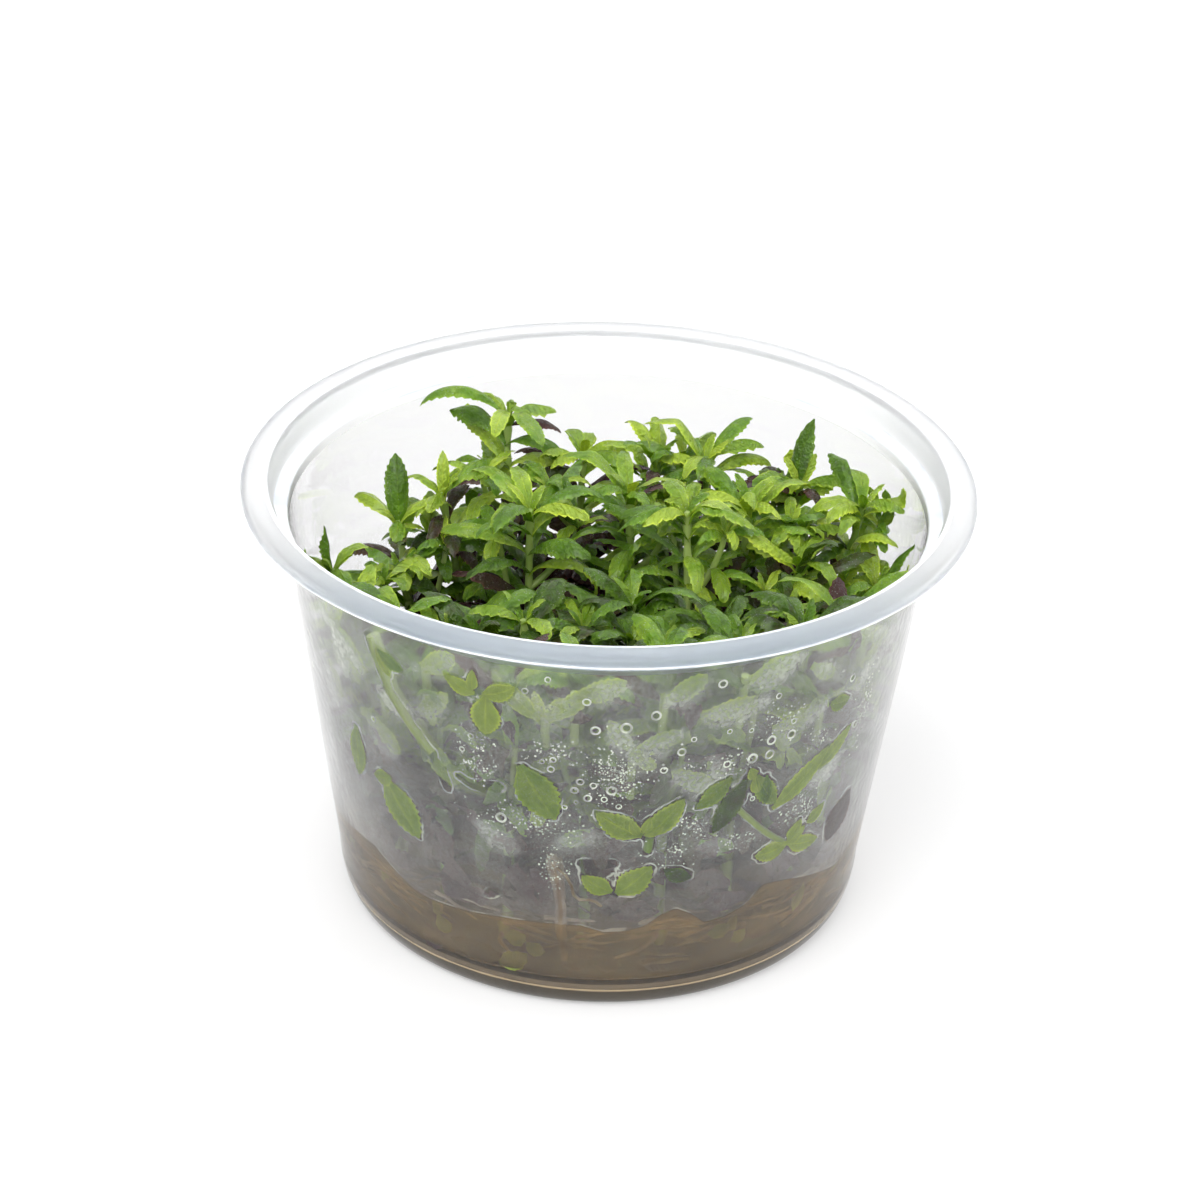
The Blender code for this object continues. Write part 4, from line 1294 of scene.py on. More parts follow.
def wall_samples(leaves, streaks):
    """Points of leaves and of streaks on the wall, in millimetres."""
    samples = []
    for leaf in leaves:
        for step, (spot, _, side, _) in enumerate(stuck_line(leaf, 0.0)):
            half = 0.5 * leaf[4] * float(np.interp(step / LEAF_STEPS, *BROAD))
            samples += [spot + side * (half * across) for across in np.linspace(-1.0, 1.0, 13)]
    for streak in streaks:
        angle, radius = math.radians(streak[0]), 0.7 * streak[4]
        around = Vector((-math.sin(angle), math.cos(angle), 0.0))
        for share in np.linspace(0.0, 1.0, 24):
            spot = wall_path(streak, share)
            for turn in np.linspace(0.0, math.tau, 9):
                samples.append(spot + around * (radius * math.cos(turn))
                               + Vector((0.0, 0.0, radius * math.sin(turn))))
    return samples


def uneven(places, size, octaves, shift):
    """Noise about 0 for each place in millimetres, with features of a size."""
    offset = Vector((shift, 2.0 * shift, 3.0 * shift))
    return np.array([noise.fractal(Vector(place) / size + offset, 1.0, 2.0, octaves) for place in places])


# The film of condensation: lowest and highest edge, thickness, faces round it and cuts up it
FILM_LOW, FILM_HIGH = 11.6, 58.2
FILM_THICKNESS = 0.03
FILM_AROUND, FILM_CUTS = 460, 79
# How far the film stands off the wall, and the drops are let into it
SEAT = 0.05


def film_edges(places, azimuth, front):
    """How far each place of the film is from what wets the wall: the gel, leaves and stems; and drops."""
    edge = places[:, 2] - gel_edge(azimuth)
    tree = search_tree(wall_samples(STUCK_LEAVES, (*STUCK_STEMS, *CLEAR_PATCHES)))
    for index, shift in zip(front, uneven(places[front], 1.3, 2, 3.1)):
        edge[index] = min(edge[index], tree.find(places[index])[2] - 0.2 - 0.34 * abs(shift))
    drop = np.full(len(places), 5.0)
    for azimuth_at, height, radius in DROPS:
        away = np.linalg.norm(places - np.array(wall_place(azimuth_at, height)), axis=1)
        drop = np.minimum(drop, away - radius)
    return edge, drop


def film_veil(places, share, front):
    """How thick the film is: uneven, thicker high up, whiter at the left and right sides as painted light
    where the curved wall catches it, and before veiled leaves.
    """
    veil = np.clip(0.95 + 1.2 * uneven(places, 7.0, 3, 7.7), 0.15, 2.2) * (0.05 + 0.95 * share)
    veil *= 1.0 + 0.35 * ramped(places[:, 2], 38.0, 52.0)
    # Painted light: the veil is whiter towards the left and right sides
    veil *= 1.0 + 1.1 * ramped(np.abs(places[:, 0]), 27.0, 39.0)
    tree = search_tree(wall_samples(VEILED_LEAVES, ()))
    near = np.zeros(len(places))
    for index in front:
        near[index] = max(1.0 - tree.find(places[index])[2] / 1.1, 0.0)
    return veil * (1.0 + 2.8 * near)


def film_beads(places, share):
    """How densely fine beads sit on the film: in patches, and most in the clusters."""
    cluster = np.zeros(len(places))
    for azimuth, height, half_width, half_height in CLUSTERS:
        off = places - np.array(wall_place(azimuth, height))
        away = np.hypot(np.hypot(off[:, 0], off[:, 1]) / half_width, off[:, 2] / half_height)
        cluster = np.maximum(cluster, 1.2 - away)
    patches = uneven(places, 4.5, 2, 1.9)
    return np.clip(3.0 * (patches - 0.1), 0.0, 1.6) * share + 4.5 * np.clip(cluster, 0.0, 1.0)


def build_film(look):
    """The veil of fine condensation on the inner wall."""
    deselect()
    low_radius, high_radius = ((wall_outer_radius(z) - WALL - SEAT) * MM for z in (FILM_LOW, FILM_HIGH))
    bpy.ops.mesh.primitive_cone_add(vertices=FILM_AROUND, radius1=low_radius, radius2=high_radius,
                                    depth=(FILM_HIGH - FILM_LOW) * MM, end_fill_type="NOTHING",
                                    location=(0.0, 0.0, 0.5 * (FILM_LOW + FILM_HIGH) * MM))
    film = named("condensation_film")
    bpy.ops.object.transform_apply(location=True, rotation=False, scale=False)
    edit("EDGE")
    select_where(film, lambda edge: abs(edge.verts[0].co.z - edge.verts[1].co.z) > 0.01, "edges")
    bpy.ops.mesh.subdivide(number_cuts=FILM_CUTS)
    leave_edit()
    places, azimuth = round_places(film)
    front = np.flatnonzero((azimuth > -170) & (azimuth < -15))
    share = front_share(azimuth, places[:, 2])
    edge, drop = film_edges(places, azimuth, front)
    give(film, "edge", edge)
    give(film, "drop", drop)
    give(film, "veil", film_veil(places, share, front))
    give(film, "dense", film_beads(places, share))
    thick = film.modifiers.new("thickness", "SOLIDIFY")
    thick.thickness = FILM_THICKNESS * MM
    first = film.data.polygons[0]
    thick.offset = 1.0 if first.normal.dot(first.center) < 0 else -1.0
    pick(film)
    bpy.ops.object.modifier_apply(modifier=thick.name)
    coat(film, film_material(look))
    hand_over(film, 50, "tub")


def dome_form(name, segments, rings, cut, ring_width=0.0):
    """A drop: a ball cut flat where it sits on the wall, with Z away from the wall."""
    deselect()
    bpy.ops.mesh.primitive_uv_sphere_add(segments=segments, ring_count=rings, radius=1.0,
                                         location=(0.0, 0.0, 0.0))
    dome = named(name)
    edit("FACE" if ring_width else "VERT")
    bpy.ops.mesh.bisect(plane_co=(0.0, 0.0, cut), plane_no=(0.0, 0.0, 1.0), use_fill=True, clear_inner=True)
    if ring_width:
        select_where(dome, lambda face: len(face.verts) > 6, "faces")
        bpy.ops.mesh.inset(thickness=ring_width)
    leave_edit()
    return Form(dome)


# Where a drop of radius 1 is cut flat, and its height as a share of its radius
DROP_CUT = -0.05
DROP_FLATNESS = 0.6
# Drops and clusters on the wall's other sides, droplets in a cluster whose half width and half height
# are a millimetre, and the wall's radius halfway up
DROPS_BEHIND = 45
CLUSTERS_BEHIND = 14
DROPLET_DENSITY = 34
WALL_MIDDLE_RADIUS = 41.0


def drop_spots(large, fine, dice):
    """Form, azimuth, height and radius of every drop: those of the photo's side, then those behind."""
    spots = [(large, *drop) for drop in DROPS]
    for _ in range(DROPS_BEHIND):
        spots.append((large, dice.uniform(-15, 195), dice.uniform(20, 40), dice.uniform(0.3, 0.75)))
    clusters = list(CLUSTERS)
    for _ in range(CLUSTERS_BEHIND):
        clusters.append((dice.uniform(-10, 190), dice.uniform(18, 36), dice.uniform(1.5, 4.0),
                         dice.uniform(1.2, 3.0)))
    for azimuth, height, half_width, half_height in clusters:
        for _ in range(int(DROPLET_DENSITY * half_width * half_height)):
            across, up = dice.gauss(0.0, 0.75), dice.gauss(0.0, 0.75)
            turn = math.degrees(across * half_width / WALL_MIDDLE_RADIUS)
            spots.append((fine, azimuth + turn, height + up * half_height, 0.04 + 0.15 * dice.random() ** 3))
    return spots


def build_drops():
    """Drops of condensation: the large ones, and clusters of fine ones."""
    large = dome_form("drop_pattern", 18, 12, DROP_CUT, 0.4)
    fine = dome_form("droplet_pattern", 6, 4, 0.0)
    dice = random.Random(SEED + 3)
    copies = []
    for form, azimuth, height, radius in drop_spots(large, fine, dice):
        seat = wall_place(azimuth, height, -SEAT)
        inward = -Vector((seat.x, seat.y, 0.0)).normalized()
        turn = Vector((0.0, 0.0, 1.0)).rotation_difference(inward).to_matrix()
        squash = Matrix.Diagonal((radius * dice.uniform(0.93, 1.07), radius, radius * DROP_FLATNESS))
        placed = np.array(turn @ squash)
        bright = 1 if form is fine and dice.random() < 0.8 else 0
        copies.append((form, (form.places @ placed.T + np.array(seat)) * MM, 0.0, bright))
    drops = gathered("condensation_drops", copies)
    start = 0
    # Painted highlight: the foot ring of every large drop gets the bright material
    ring = [index for index, face in enumerate(large.faces)
            if len(face) == 4 and max(large.places[corner][2] for corner in face) < DROP_CUT + 0.01]
    for form, *_ in copies:
        for index in ring if form is large else ():
            drops.data.polygons[start + index].material_index = 1
        start += len(form.faces)
    coat(drops, drop_material(), glint_material())
    hand_over(drops, 60, "tub")


def build_gel(look):
    """The slab of agar, which wets the wall and creeps up it unevenly."""
    corner_z = FLOOR_Z + FLOOR_CORNER
    corner_radius = wall_outer_radius(corner_z) - WALL - FLOOR_CORNER
    side = [(wall_outer_radius(z) - WALL + 0.1, z) for z in (8, 10, 12)]
    edge_radius = wall_outer_radius(GEL_TOP + 1) - WALL
    creep = [(edge_radius + out, GEL_TOP + up) for out, up in
             ((0.1, 1.0), (-0.25, 0.9), (-0.6, 0.55), (-1.1, 0.25), (-1.8, 0.08), (-3.0, 0.0))]
    top = [(radius, GEL_TOP) for radius in range(32, -1, -4)]
    corner = arc(corner_radius, corner_z, FLOOR_CORNER + 0.05, FLOOR_CORNER + 0.05, -90, 0, 8)
    gel = turned([(0.0, FLOOR_Z - 0.05), *corner, *side, *creep, *top], "agar", 240)
    places, azimuth = round_places(gel)
    reach = np.hypot(places[:, 0], places[:, 1])
    level = places[:, 2] - GEL_TOP
    on_edge = (level > 0.02) & (reach > edge_radius - 2.5)
    places[:, 2] = np.where(on_edge, GEL_TOP + level * (gel_edge(azimuth) - GEL_TOP), places[:, 2])
    limit = wall_outer_radius(places[:, 2]) - WALL
    places[:, :2] *= np.where(level > 0.95, (limit + 0.1) / reach.clip(0.001), 1.0)[:, None]
    ripple = 0.35 * np.sin(places[:, 0] * 0.31 + 1.3) * np.cos(places[:, 1] * 0.27) + \
        0.2 * np.sin(places[:, 0] * 0.83 - places[:, 1] * 0.71)
    places[:, 2] += np.where((level > -0.01) & ~on_edge, ripple, 0.0)
    set_places(gel, places * MM)
    coat(gel, gel_material(look))
    hand_over(gel, 60, "gel", "agar_gel")


def tubes(name, lines, sides=2):
    """One mesh of round tubes, each a list of (place in millimetres, radius) and a tone."""
    curve = bpy.data.curves.new(name, "CURVE")
    curve.dimensions = "3D"
    curve.bevel_depth = MM
    curve.bevel_resolution = sides
    curve.use_fill_caps = True
    for line, _ in lines:
        spline = curve.splines.new("POLY")
        spline.points.add(len(line) - 1)
        for point, (place, radius) in zip(spline.points, line):
            point.co = (*(place * MM), 1.0)
            point.radius = radius
    tree = search_tree([place * MM for line, _ in lines for place, _ in line])
    tones = [tone for line, tone in lines for _ in line]
    thing = bpy.data.objects.new(name, curve)
    bpy.context.collection.objects.link(thing)
    pick(thing)
    bpy.ops.object.convert(target="MESH")
    thing = bpy.context.object
    give(thing, "tone", [tones[tree.find(vert.co)[1]] for vert in thing.data.vertices])
    layers = thing.data.uv_layers
    layer = layers[0] if layers else layers.new(name="LeafUV")
    layer.name = "LeafUV"
    edit()
    merge(0.000001)
    bpy.ops.mesh.normals_make_consistent(inside=False)
    leave_edit()
    return thing


def kept_inside(place, clearance=1.2):
    """A place moved in from the wall."""
    limit = wall_outer_radius(place.z) - WALL - clearance
    reach = math.hypot(place.x, place.y)
    if reach > limit:
        place.x *= limit / reach
        place.y *= limit / reach
    return place


# Width and length of the scene's leaves as shares of their solids', above HIGH_LEAF and below it
HIGH_LEAF = 43.0
WIDTH_SHARES = (0.8, 0.77)
LENGTH_SHARES = (1.27, 1.15)
# Leaves above this height show well and get the finer forms
FINE_LEAF = 39.0
# Top of the deep shade in the middle of the canopy, and how far painted shade darkens leaves there, on the
# front shoots and on those of the hollow
SHADE_TOP = 47.0
SHADE = 0.34
FRONT_SHADE = 0.16
HOLLOW_SHADE = 0.28

# Whorls that the solids leave out: share of the stem, leaves, length, width, least and most droop
SPARE_WHORLS = (
    (0.05, 4, 1.1, 1.3, 10, 60), (0.14, 4, 1.1, 1.3, 10, 60), (0.23, 4, 1.05, 1.2, 20, 70),
    (0.31, 4, 1.0, 1.1, 30, 80), (0.4, 4, 1.0, 1.05, 30, 90), (0.46, 4, 1.15, 1.05, 20, 60),
    (0.52, 4, 1.0, 1.0, 40, 100), (0.6, 3, 1.15, 1.0, 30, 80),
    (0.72, 3, 1.05, 0.95, 60, 130), (0.9, 2, 0.95, 0.9, 50, 120),
)
# The rosette at a tip, outer and inner leaves: elevation, droop, length, width
ROSETTE = ((62, 80, 8.0, 2.7), (80, 36, 4.4, 1.6))


def spare_leaf(base, azimuth, elevation, droop, length, width, dice):
    """A leaf that the solids leave out."""
    return {"base": base, "azimuth": azimuth, "elevation": elevation, "droop": droop, "length": length,
            "width": width, "yaw": dice.uniform(-30, 30), "twist": dice.uniform(-35, 35), "top": CANOPY_TOP}


def leaf_tone(place, dice, near_wall=True):
    """Low leaves are old and dark, high ones green, a few young, and near the wall almost half are painted
    light green for the light they get there, the rest dark.
    """
    share = min(max((place.z - 20.0) / 24.0, 0.0), 1.0)
    if near_wall and math.hypot(place.x, place.y) > 26.0 and 28.0 < place.z < 48.0:
        return dice.uniform(0.7, 1.0) if dice.random() < 0.45 else dice.uniform(0.0, 0.42)
    if dice.random() < 1.0 - 1.35 * share:
        return dice.uniform(0.0, 0.2)
    return TONE_DEEP - 0.1 + (TONE_GREEN - TONE_DEEP + 0.16) * share + dice.uniform(-0.17, 0.2)


def heading(azimuth):
    """Level direction of an azimuth in degrees."""
    return Vector((math.cos(math.radians(azimuth)), math.sin(math.radians(azimuth)), 0.0))


def rosette(tip, dice, size):
    """Young leaves packed round a shoot's tip: few, small and upright."""
    leaves = []
    turn = dice.uniform(0, 360)
    for index in range(5):
        elevation, droop, length, width = ROSETTE[index // 3]
        azimuth = turn + 120 * index + 60 * (index // 3)
        leaf = spare_leaf(tip + heading(azimuth) * 0.25, azimuth, elevation + dice.uniform(-10, 8), droop,
                          length * size * dice.uniform(0.8, 1.15), width * size, dice)
        leaves.append((leaf, dice.uniform(TONE_GREEN, 1.0)))
    return leaves


def side_shoot(base, azimuth, rise, reach, dice):
    """A short side branch: its line, and its leaves."""
    out = heading(azimuth)
    middle = kept_inside(base + out * (0.75 * reach) + Vector((0.0, 0.0, 0.4 * rise)))
    tip = kept_inside(base + out * reach + Vector((0.0, 0.0, rise)), 2.0)
    points = [(bent(base, middle, tip, step / 8), 0.55 - 0.16 * (step / 8)) for step in range(9)]
    leaves = []
    turn = dice.uniform(0, 360)
    for level, share in enumerate((0.55, 0.95)):
        place = bent(base, middle, tip, share)
        for slot in range(3):
            at = turn + 120 * slot + 60 * (level % 2)
            leaf = spare_leaf(place.copy(), at, 30 + 22 * level + dice.uniform(-10, 14),
                              dice.uniform(35, 90), dice.uniform(7.5, 10.5) * (1 - 0.1 * level),
                              dice.uniform(2.4, 3.3), dice)
            leaves.append((leaf, leaf_tone(place, dice, False)))
    return points, leaves + rosette(tip, dice, 0.8)


def shaded(place):
    """Whether a leaf grows in the deep shade in the middle of the canopy."""
    return abs(place.x + 0.5) < 6.0 and 4.0 < place.y < 15.0 and place.z < SHADE_TOP


def before_bright_stem(place):
    """Whether a leaf would hide the tall bright stem at centre right."""
    return abs(place.x - 11.5) < 4.5 and -15.0 < place.y < 2.0 and place.z > 36.0


def solid_leaf(leaf, key):
    """A leaf of the solids as the scene lays it: longer and more arched, or tuned one by one."""
    if key in TUNED_LEAVES:
        leaf = {**leaf, **TUNED_LEAVES[key]}
    elif key not in SPECIAL_LEAVES:
        leaf = {**leaf, "length": LENGTH_SHARES[leaf["base"].z <= HIGH_LEAF] * leaf["length"],
                "elevation": leaf["elevation"] + 8, "droop": 1.2 * leaf["droop"] + 16}
    return {**leaf, "base": leaf["base"] + Vector(leaf.get("shift", (0.0, 0.0, 0.0)))}


def shoot_pieces(shoot, forms, dice):
    """Stem lines and placed leaves of one shoot."""
    line = [(stem_point(shoot, 0.0) - Vector((0.0, 0.0, POCKET_DEPTH)), STEM_RADIUS * 0.9)]
    swell = {round(height * 24): 0.22 for height in WHORL_HEIGHTS}
    for step in range(26):
        share = min(step / 24, 1.02)
        line.append((stem_point(shoot, share), stem_radius(share) + swell.get(step, 0.0)))
    stem_tone = 1.0 if shoot["name"] == "centre_front" else dice.uniform(0.62, 1.0)
    lines = [(line, stem_tone)]
    copies = []
    # Painted shade: leaves of the front shoots and of the hollow are darker
    dark = FRONT_SHADE if shoot["tip"][1] < -12 else 0.0
    if shoot["name"].startswith("hollow"):
        dark = HOLLOW_SHADE

    def lay(leaf, tone, form=None):
        """Place one leaf."""
        form = form or forms["narrow" if leaf["width"] < 4.6 else "broad"]
        # Painted shade: leaves in the deep shade are darker
        if shaded(leaf["base"]):
            tone -= SHADE
        wide = WIDTH_SHARES[leaf["base"].z <= HIGH_LEAF]
        places = laid_leaf(form, leaf_line(leaf), leaf["width"] * wide, dice.uniform(-1.2, 0.1),
                           dice.uniform(0.04, 0.2), dice.uniform(0.0, 6.0), 0.0,
                           dice.uniform(0.04, 0.24) * leaf["length"])
        copies.append((form, places, min(max(tone - dark, 0.0), 1.0), 0))

    for (whorl, slot), leaf in shoot["leaves"].items():
        key = (shoot["name"], whorl, slot)
        leaf = solid_leaf(leaf, key)
        tone = leaf_tone(leaf["base"], dice)
        fine = forms["hero_broad" if leaf["width"] > 4.6 else "hero"]
        lay(leaf, SPECIAL_TONES.get(key, tone), fine if leaf["base"].z > FINE_LEAF else None)
    for height, count, length, width, least, most in SPARE_WHORLS:
        middle = stem_point(shoot, height)
        turn = shoot["turn"] + dice.uniform(10, 50)
        for slot in range(count):
            leaf = spare_leaf(middle.copy(), turn + 360 / count * slot,
                              20 + 46 * height + dice.uniform(-14, 14), dice.uniform(least, most),
                              shoot["length"] * length * dice.uniform(0.8, 1.1),
                              shoot["width"] * width * dice.uniform(0.8, 1.1), dice)
            # Painted shade: spare leaves halfway up stems away from the front are darker
            tone = leaf_tone(middle, dice) - (0.27 if 0.35 < height < 0.65 and middle.y > -8 else 0.0)
            if not before_bright_stem(middle):
                lay(leaf, tone, forms["hero"] if middle.z > FINE_LEAF else None)
    spare = rosette(stem_point(shoot, 1.0), dice, 0.9 + 0.02 * shoot["length"])
    for leaf, tone in spare:
        lay(leaf, tone)
    for index, share in enumerate((0.42, 0.66)):
        base = stem_point(shoot, share)
        points, leaves = side_shoot(base, shoot["turn"] + 180 * index + dice.uniform(-60, 60),
                                    (shoot["tip"][2] - base.z) * dice.uniform(0.55, 0.95),
                                    dice.uniform(4.0, 8.5), dice)
        lines.append((points, stem_tone))
        for leaf, tone in leaves:
            lay(leaf, tone)
    return lines, copies


def plant_piece(name, lines, copies, look, *nodes):
    """Stems and leaves as one object with both materials."""
    whole = gathered(name, copies)
    coat(whole, *plant_materials(look))
    if lines:
        stems = tubes(f"{name}_stems", lines)
        coat(stems, *plant_materials(look))
        stems.data.polygons.foreach_set("material_index", [1] * len(stems.data.polygons))
        pick(stems, whole)
        bpy.ops.object.join()
        whole.name = whole.data.name = name
    hand_over(whole, 50, "plant", *nodes)


def build_shoots(look):
    """Every shoot in place of its solid, with finer leaves where they show."""
    forms = {"narrow": leaf_form("narrow_leaf", 12, 2, NARROW, 0.07, 0.1),
             "broad": leaf_form("broad_leaf", 12, 2, BROAD, 0.06, 0.09),
             "hero": leaf_form("fine_leaf", 23, 4, NARROW, 0.055, 0.1),
             "hero_broad": leaf_form("fine_broad_leaf", 27, 4, BROAD, 0.05, 0.09)}
    dice = random.Random(SEED + 1)
    for shoot in SHOOTS:
        lines, copies = shoot_pieces(shoot, forms, dice)
        plant_piece(f"plant_{shoot['name']}", lines, copies, look, f"shoot_{shoot['name']}")


def build_stuck(look):
    """Leaves and stems that stick to the wet wall, and plantlets just behind the fog."""
    form = leaf_form("stuck_leaf", 19, 4, BROAD, 0.09, 0.05)
    slim = leaf_form("veiled_leaf", 15, 4, NARROW, 0.1, 0.06)
    dice = random.Random(SEED + 5)
    copies = []
    for leaf in STUCK_LEAVES:
        places = laid_leaf(form, stuck_line(leaf, 0.1), leaf[4], 0.0, 0.0, 0.0, 0.25)
        # Painted light: stuck leaves that are not old are lighter, for the light from the front that reaches
        # them
        copies.append((form, places, min(leaf[5] + (0.12 if leaf[5] > 0.4 else 0.0), 1.0), 0))
    for leaf in VEILED_LEAVES:
        places = laid_leaf(slim, stuck_line(leaf, VEILED_DEPTH), leaf[4], dice.uniform(-0.5, 0.3), 0.14,
                           dice.uniform(0.0, 6.0))
        copies.append((slim, places, leaf[5], 0))
    lines = []
    for stem in STUCK_STEMS:
        radius, tone = stem[4:]
        lines.append(([(wall_path(stem, share, STEM_SAG, radius - 0.12), radius)
                       for share in np.linspace(0.0, 1.0, 10)], tone))
    for azimuth, low, high in VEILED_STEMS:
        lines.append(([(wall_place(azimuth, height, 1.8), 0.6) for height in np.linspace(low, high, 5)], 0.9))
    plant_piece("wall_sprigs", lines, copies, look)


# How many roots grow from each shoot and run along the wall, and how many loose bits lie in the gel
ROOTS_PER_SHOOT = 4
WALL_ROOTS = 70
LOOSE_BITS = 60
ROOT_TONE = 0.5


def deep_root(start, dice):
    """A root that wanders down from the foot of a shoot."""
    azimuth = dice.uniform(0, math.tau)
    place = start + Vector((0.0, 0.0, -dice.uniform(0.2, 3.0)))
    radius, slope = dice.uniform(0.2, 0.42), dice.uniform(-0.9, -0.2)
    line = []
    for step in range(10):
        line.append((place.copy(), radius * (1.0 - 0.06 * step)))
        azimuth += dice.uniform(-0.5, 0.5)
        ahead = Vector((math.cos(azimuth), math.sin(azimuth), slope)).normalized()
        place = kept_inside(place + ahead)
        place.z = max(place.z, FLOOR_Z + 0.6)
        slope = slope * 0.85 + dice.uniform(-0.1, 0.1)
    return line


def wall_root(dice):
    """A root that runs round the tub by the wall."""
    azimuth, height = dice.uniform(-180, 180), dice.uniform(7.0, 15.5)
    slope, radius = dice.uniform(-0.25, 0.25), dice.uniform(0.2, 0.55)
    line = []
    for step in range(8):
        line.append((wall_place(azimuth, height, radius + 0.5), radius * (1.0 - 0.08 * step)))
        azimuth += 1.5
        height = min(max(height + slope + dice.uniform(-0.3, 0.3), FLOOR_Z + 1.5), GEL_TOP + 2.4)
    return line


def build_roots(look):
    """Roots in the gel, and bits of leaf that the gel holds."""
    dice = random.Random(SEED + 2)
    roots = [deep_root(stem_point(shoot, 0.0), dice) for shoot in SHOOTS for _ in range(ROOTS_PER_SHOOT)]
    roots += [wall_root(dice) for _ in range(WALL_ROOTS)]
    roots.append([(wall_place(azimuth, height, radius - 0.1), radius)
                  for azimuth, height, radius in THICK_ROOT])
    roots.append([(wall_place(azimuth, height, 0.1), 0.24) for azimuth, height in CURLED_ROOT])
    threads = tubes("roots", [(line, ROOT_TONE) for line in roots], 1)
    coat(threads, root_material())
    hand_over(threads, 60, "plant")
    form = leaf_form("fallen_leaf", 9, 2, BROAD, 0.08, 0.06)
    bits = list(GEL_BITS)
    for _ in range(LOOSE_BITS):
        azimuth, height = dice.uniform(-180, 180), dice.uniform(6.0, 11.5)
        bits.append((azimuth, height, azimuth + dice.uniform(-14, 14), height + dice.uniform(-2.5, 2.5),
                     dice.uniform(2.4, 4.4), dice.choice((0.0, 0.04, 0.1, 0.16, 0.2, 0.3, 0.6))))
    copies = []
    for index, bit in enumerate(bits):
        line = stuck_line(bit, 0.35 if index < len(GEL_BITS) else dice.uniform(0.8, 9.0))
        copies.append((form, laid_leaf(form, line, bit[4], 0.2, 0.1, 1.0), bit[5], 0))
    plant_piece("gel_bits", [], copies, look)


# The camera as fitted to the photo: angles in radians, distance and aim in metres
CAMERA_PITCH, CAMERA_ROLL, CAMERA_DISTANCE = 0.5129, 0.0305, 0.5
CAMERA_AIM = Vector((-0.0007652, 0.0, 0.0435112))


def add_floor(look):
    """The pale floor, faintly lit from below like a light table."""
    deselect()
    bpy.ops.mesh.primitive_plane_add(size=6.0, location=(0.0, 0.0, -0.00005))
    floor = named("floor")
    lay = material("pale_floor", roughness=0.8, emission_color=(1.0, 1.0, 1.0),
                   emission_strength=look.floor_glow)
    lay.feed("Base Color", lay.ramp(lay.noise(lay.object_place(), 3.0, 0.0),
                                    (0.3, tinted(look.floor_colour, 0.99)), (0.7, look.floor_colour)))
    lay.made.cycles.emission_sampling = "NONE"
    floor.data.materials.append(lay.made)


def add_studio(look):
    """A white studio with soft bright zones: direction, outer and inner angle, power."""
    world = bpy.data.worlds.new("studio")
    world.use_nodes = True
    world.cycles.sampling_method = "NONE"
    lay = Shading(world.node_tree)
    sky = lay.add("ShaderNodeTexCoord").outputs["Generated"]
    strength = look.surroundings
    for direction, outer, inner, power in (((-0.28, -0.42, 0.86), 27.0, 15.0, look.key_strength),
                                           ((0.25, 0.72, 0.65), 42.0, 18.0, look.back_strength),
                                           ((-0.15, -0.96, 0.24), 52.0, 26.0, look.front_strength),
                                           ((0.92, -0.2, 0.3), 60.0, 20.0, look.side_strength)):
        toward = lay.add("ShaderNodeVectorMath", {0: sky, 1: Vector(direction).normalized()},
                         operation="DOT_PRODUCT").outputs["Value"]
        glow = lay.span(toward, math.cos(math.radians(outer)), math.cos(math.radians(inner)))
        strength = lay.maths("MULTIPLY_ADD", glow, power, strength)
    background = lay.tree.nodes["Background"]
    lay.join(background, "Strength", strength)
    lay.join(background, "Color", (1.0, 1.0, 1.0))
    bpy.context.scene.world = world


def add_camera(look):
    """The camera at the photo's angle."""
    forward = Vector((0.0, math.cos(CAMERA_PITCH), -math.sin(CAMERA_PITCH)))
    right = Vector((1.0, 0.0, 0.0))
    up = right.cross(forward)
    across = right * math.cos(CAMERA_ROLL) + up * math.sin(CAMERA_ROLL)
    upward = up * math.cos(CAMERA_ROLL) - right * math.sin(CAMERA_ROLL)
    lens = bpy.data.cameras.new("camera")
    lens.sensor_width = 36.0
    lens.lens = look.focal_length
    lens.clip_start = 0.01
    camera = bpy.data.objects.new("camera", lens)
    bpy.context.collection.objects.link(camera)
    turn = Matrix((across, upward, -forward)).transposed().to_4x4()
    camera.matrix_world = Matrix.Translation(CAMERA_AIM - forward * CAMERA_DISTANCE) @ turn
    bpy.context.scene.camera = camera


def build_stage(look):
    """Pale floor, soft studio light, and the camera."""
    add_floor(look)
    add_studio(look)
    add_camera(look)
    bpy.context.scene.view_settings.view_transform = "Standard"


# Settings


def colour(name, description, default):
    """A colour that can be set."""
    return FloatVectorProperty(name=name, description=description, subtype="COLOR", min=0.0, max=1.0,
                               default=default)


def factor(name, description, default):
    """A share from 0 to 1 that can be set."""
    return FloatProperty(name=name, description=description, subtype="FACTOR", min=0.0, max=1.0,
                         default=default)


def amount(name, description, default, least=0.0):
    """A number with no upper end that can be set."""
    return FloatProperty(name=name, description=description, min=least, default=default)


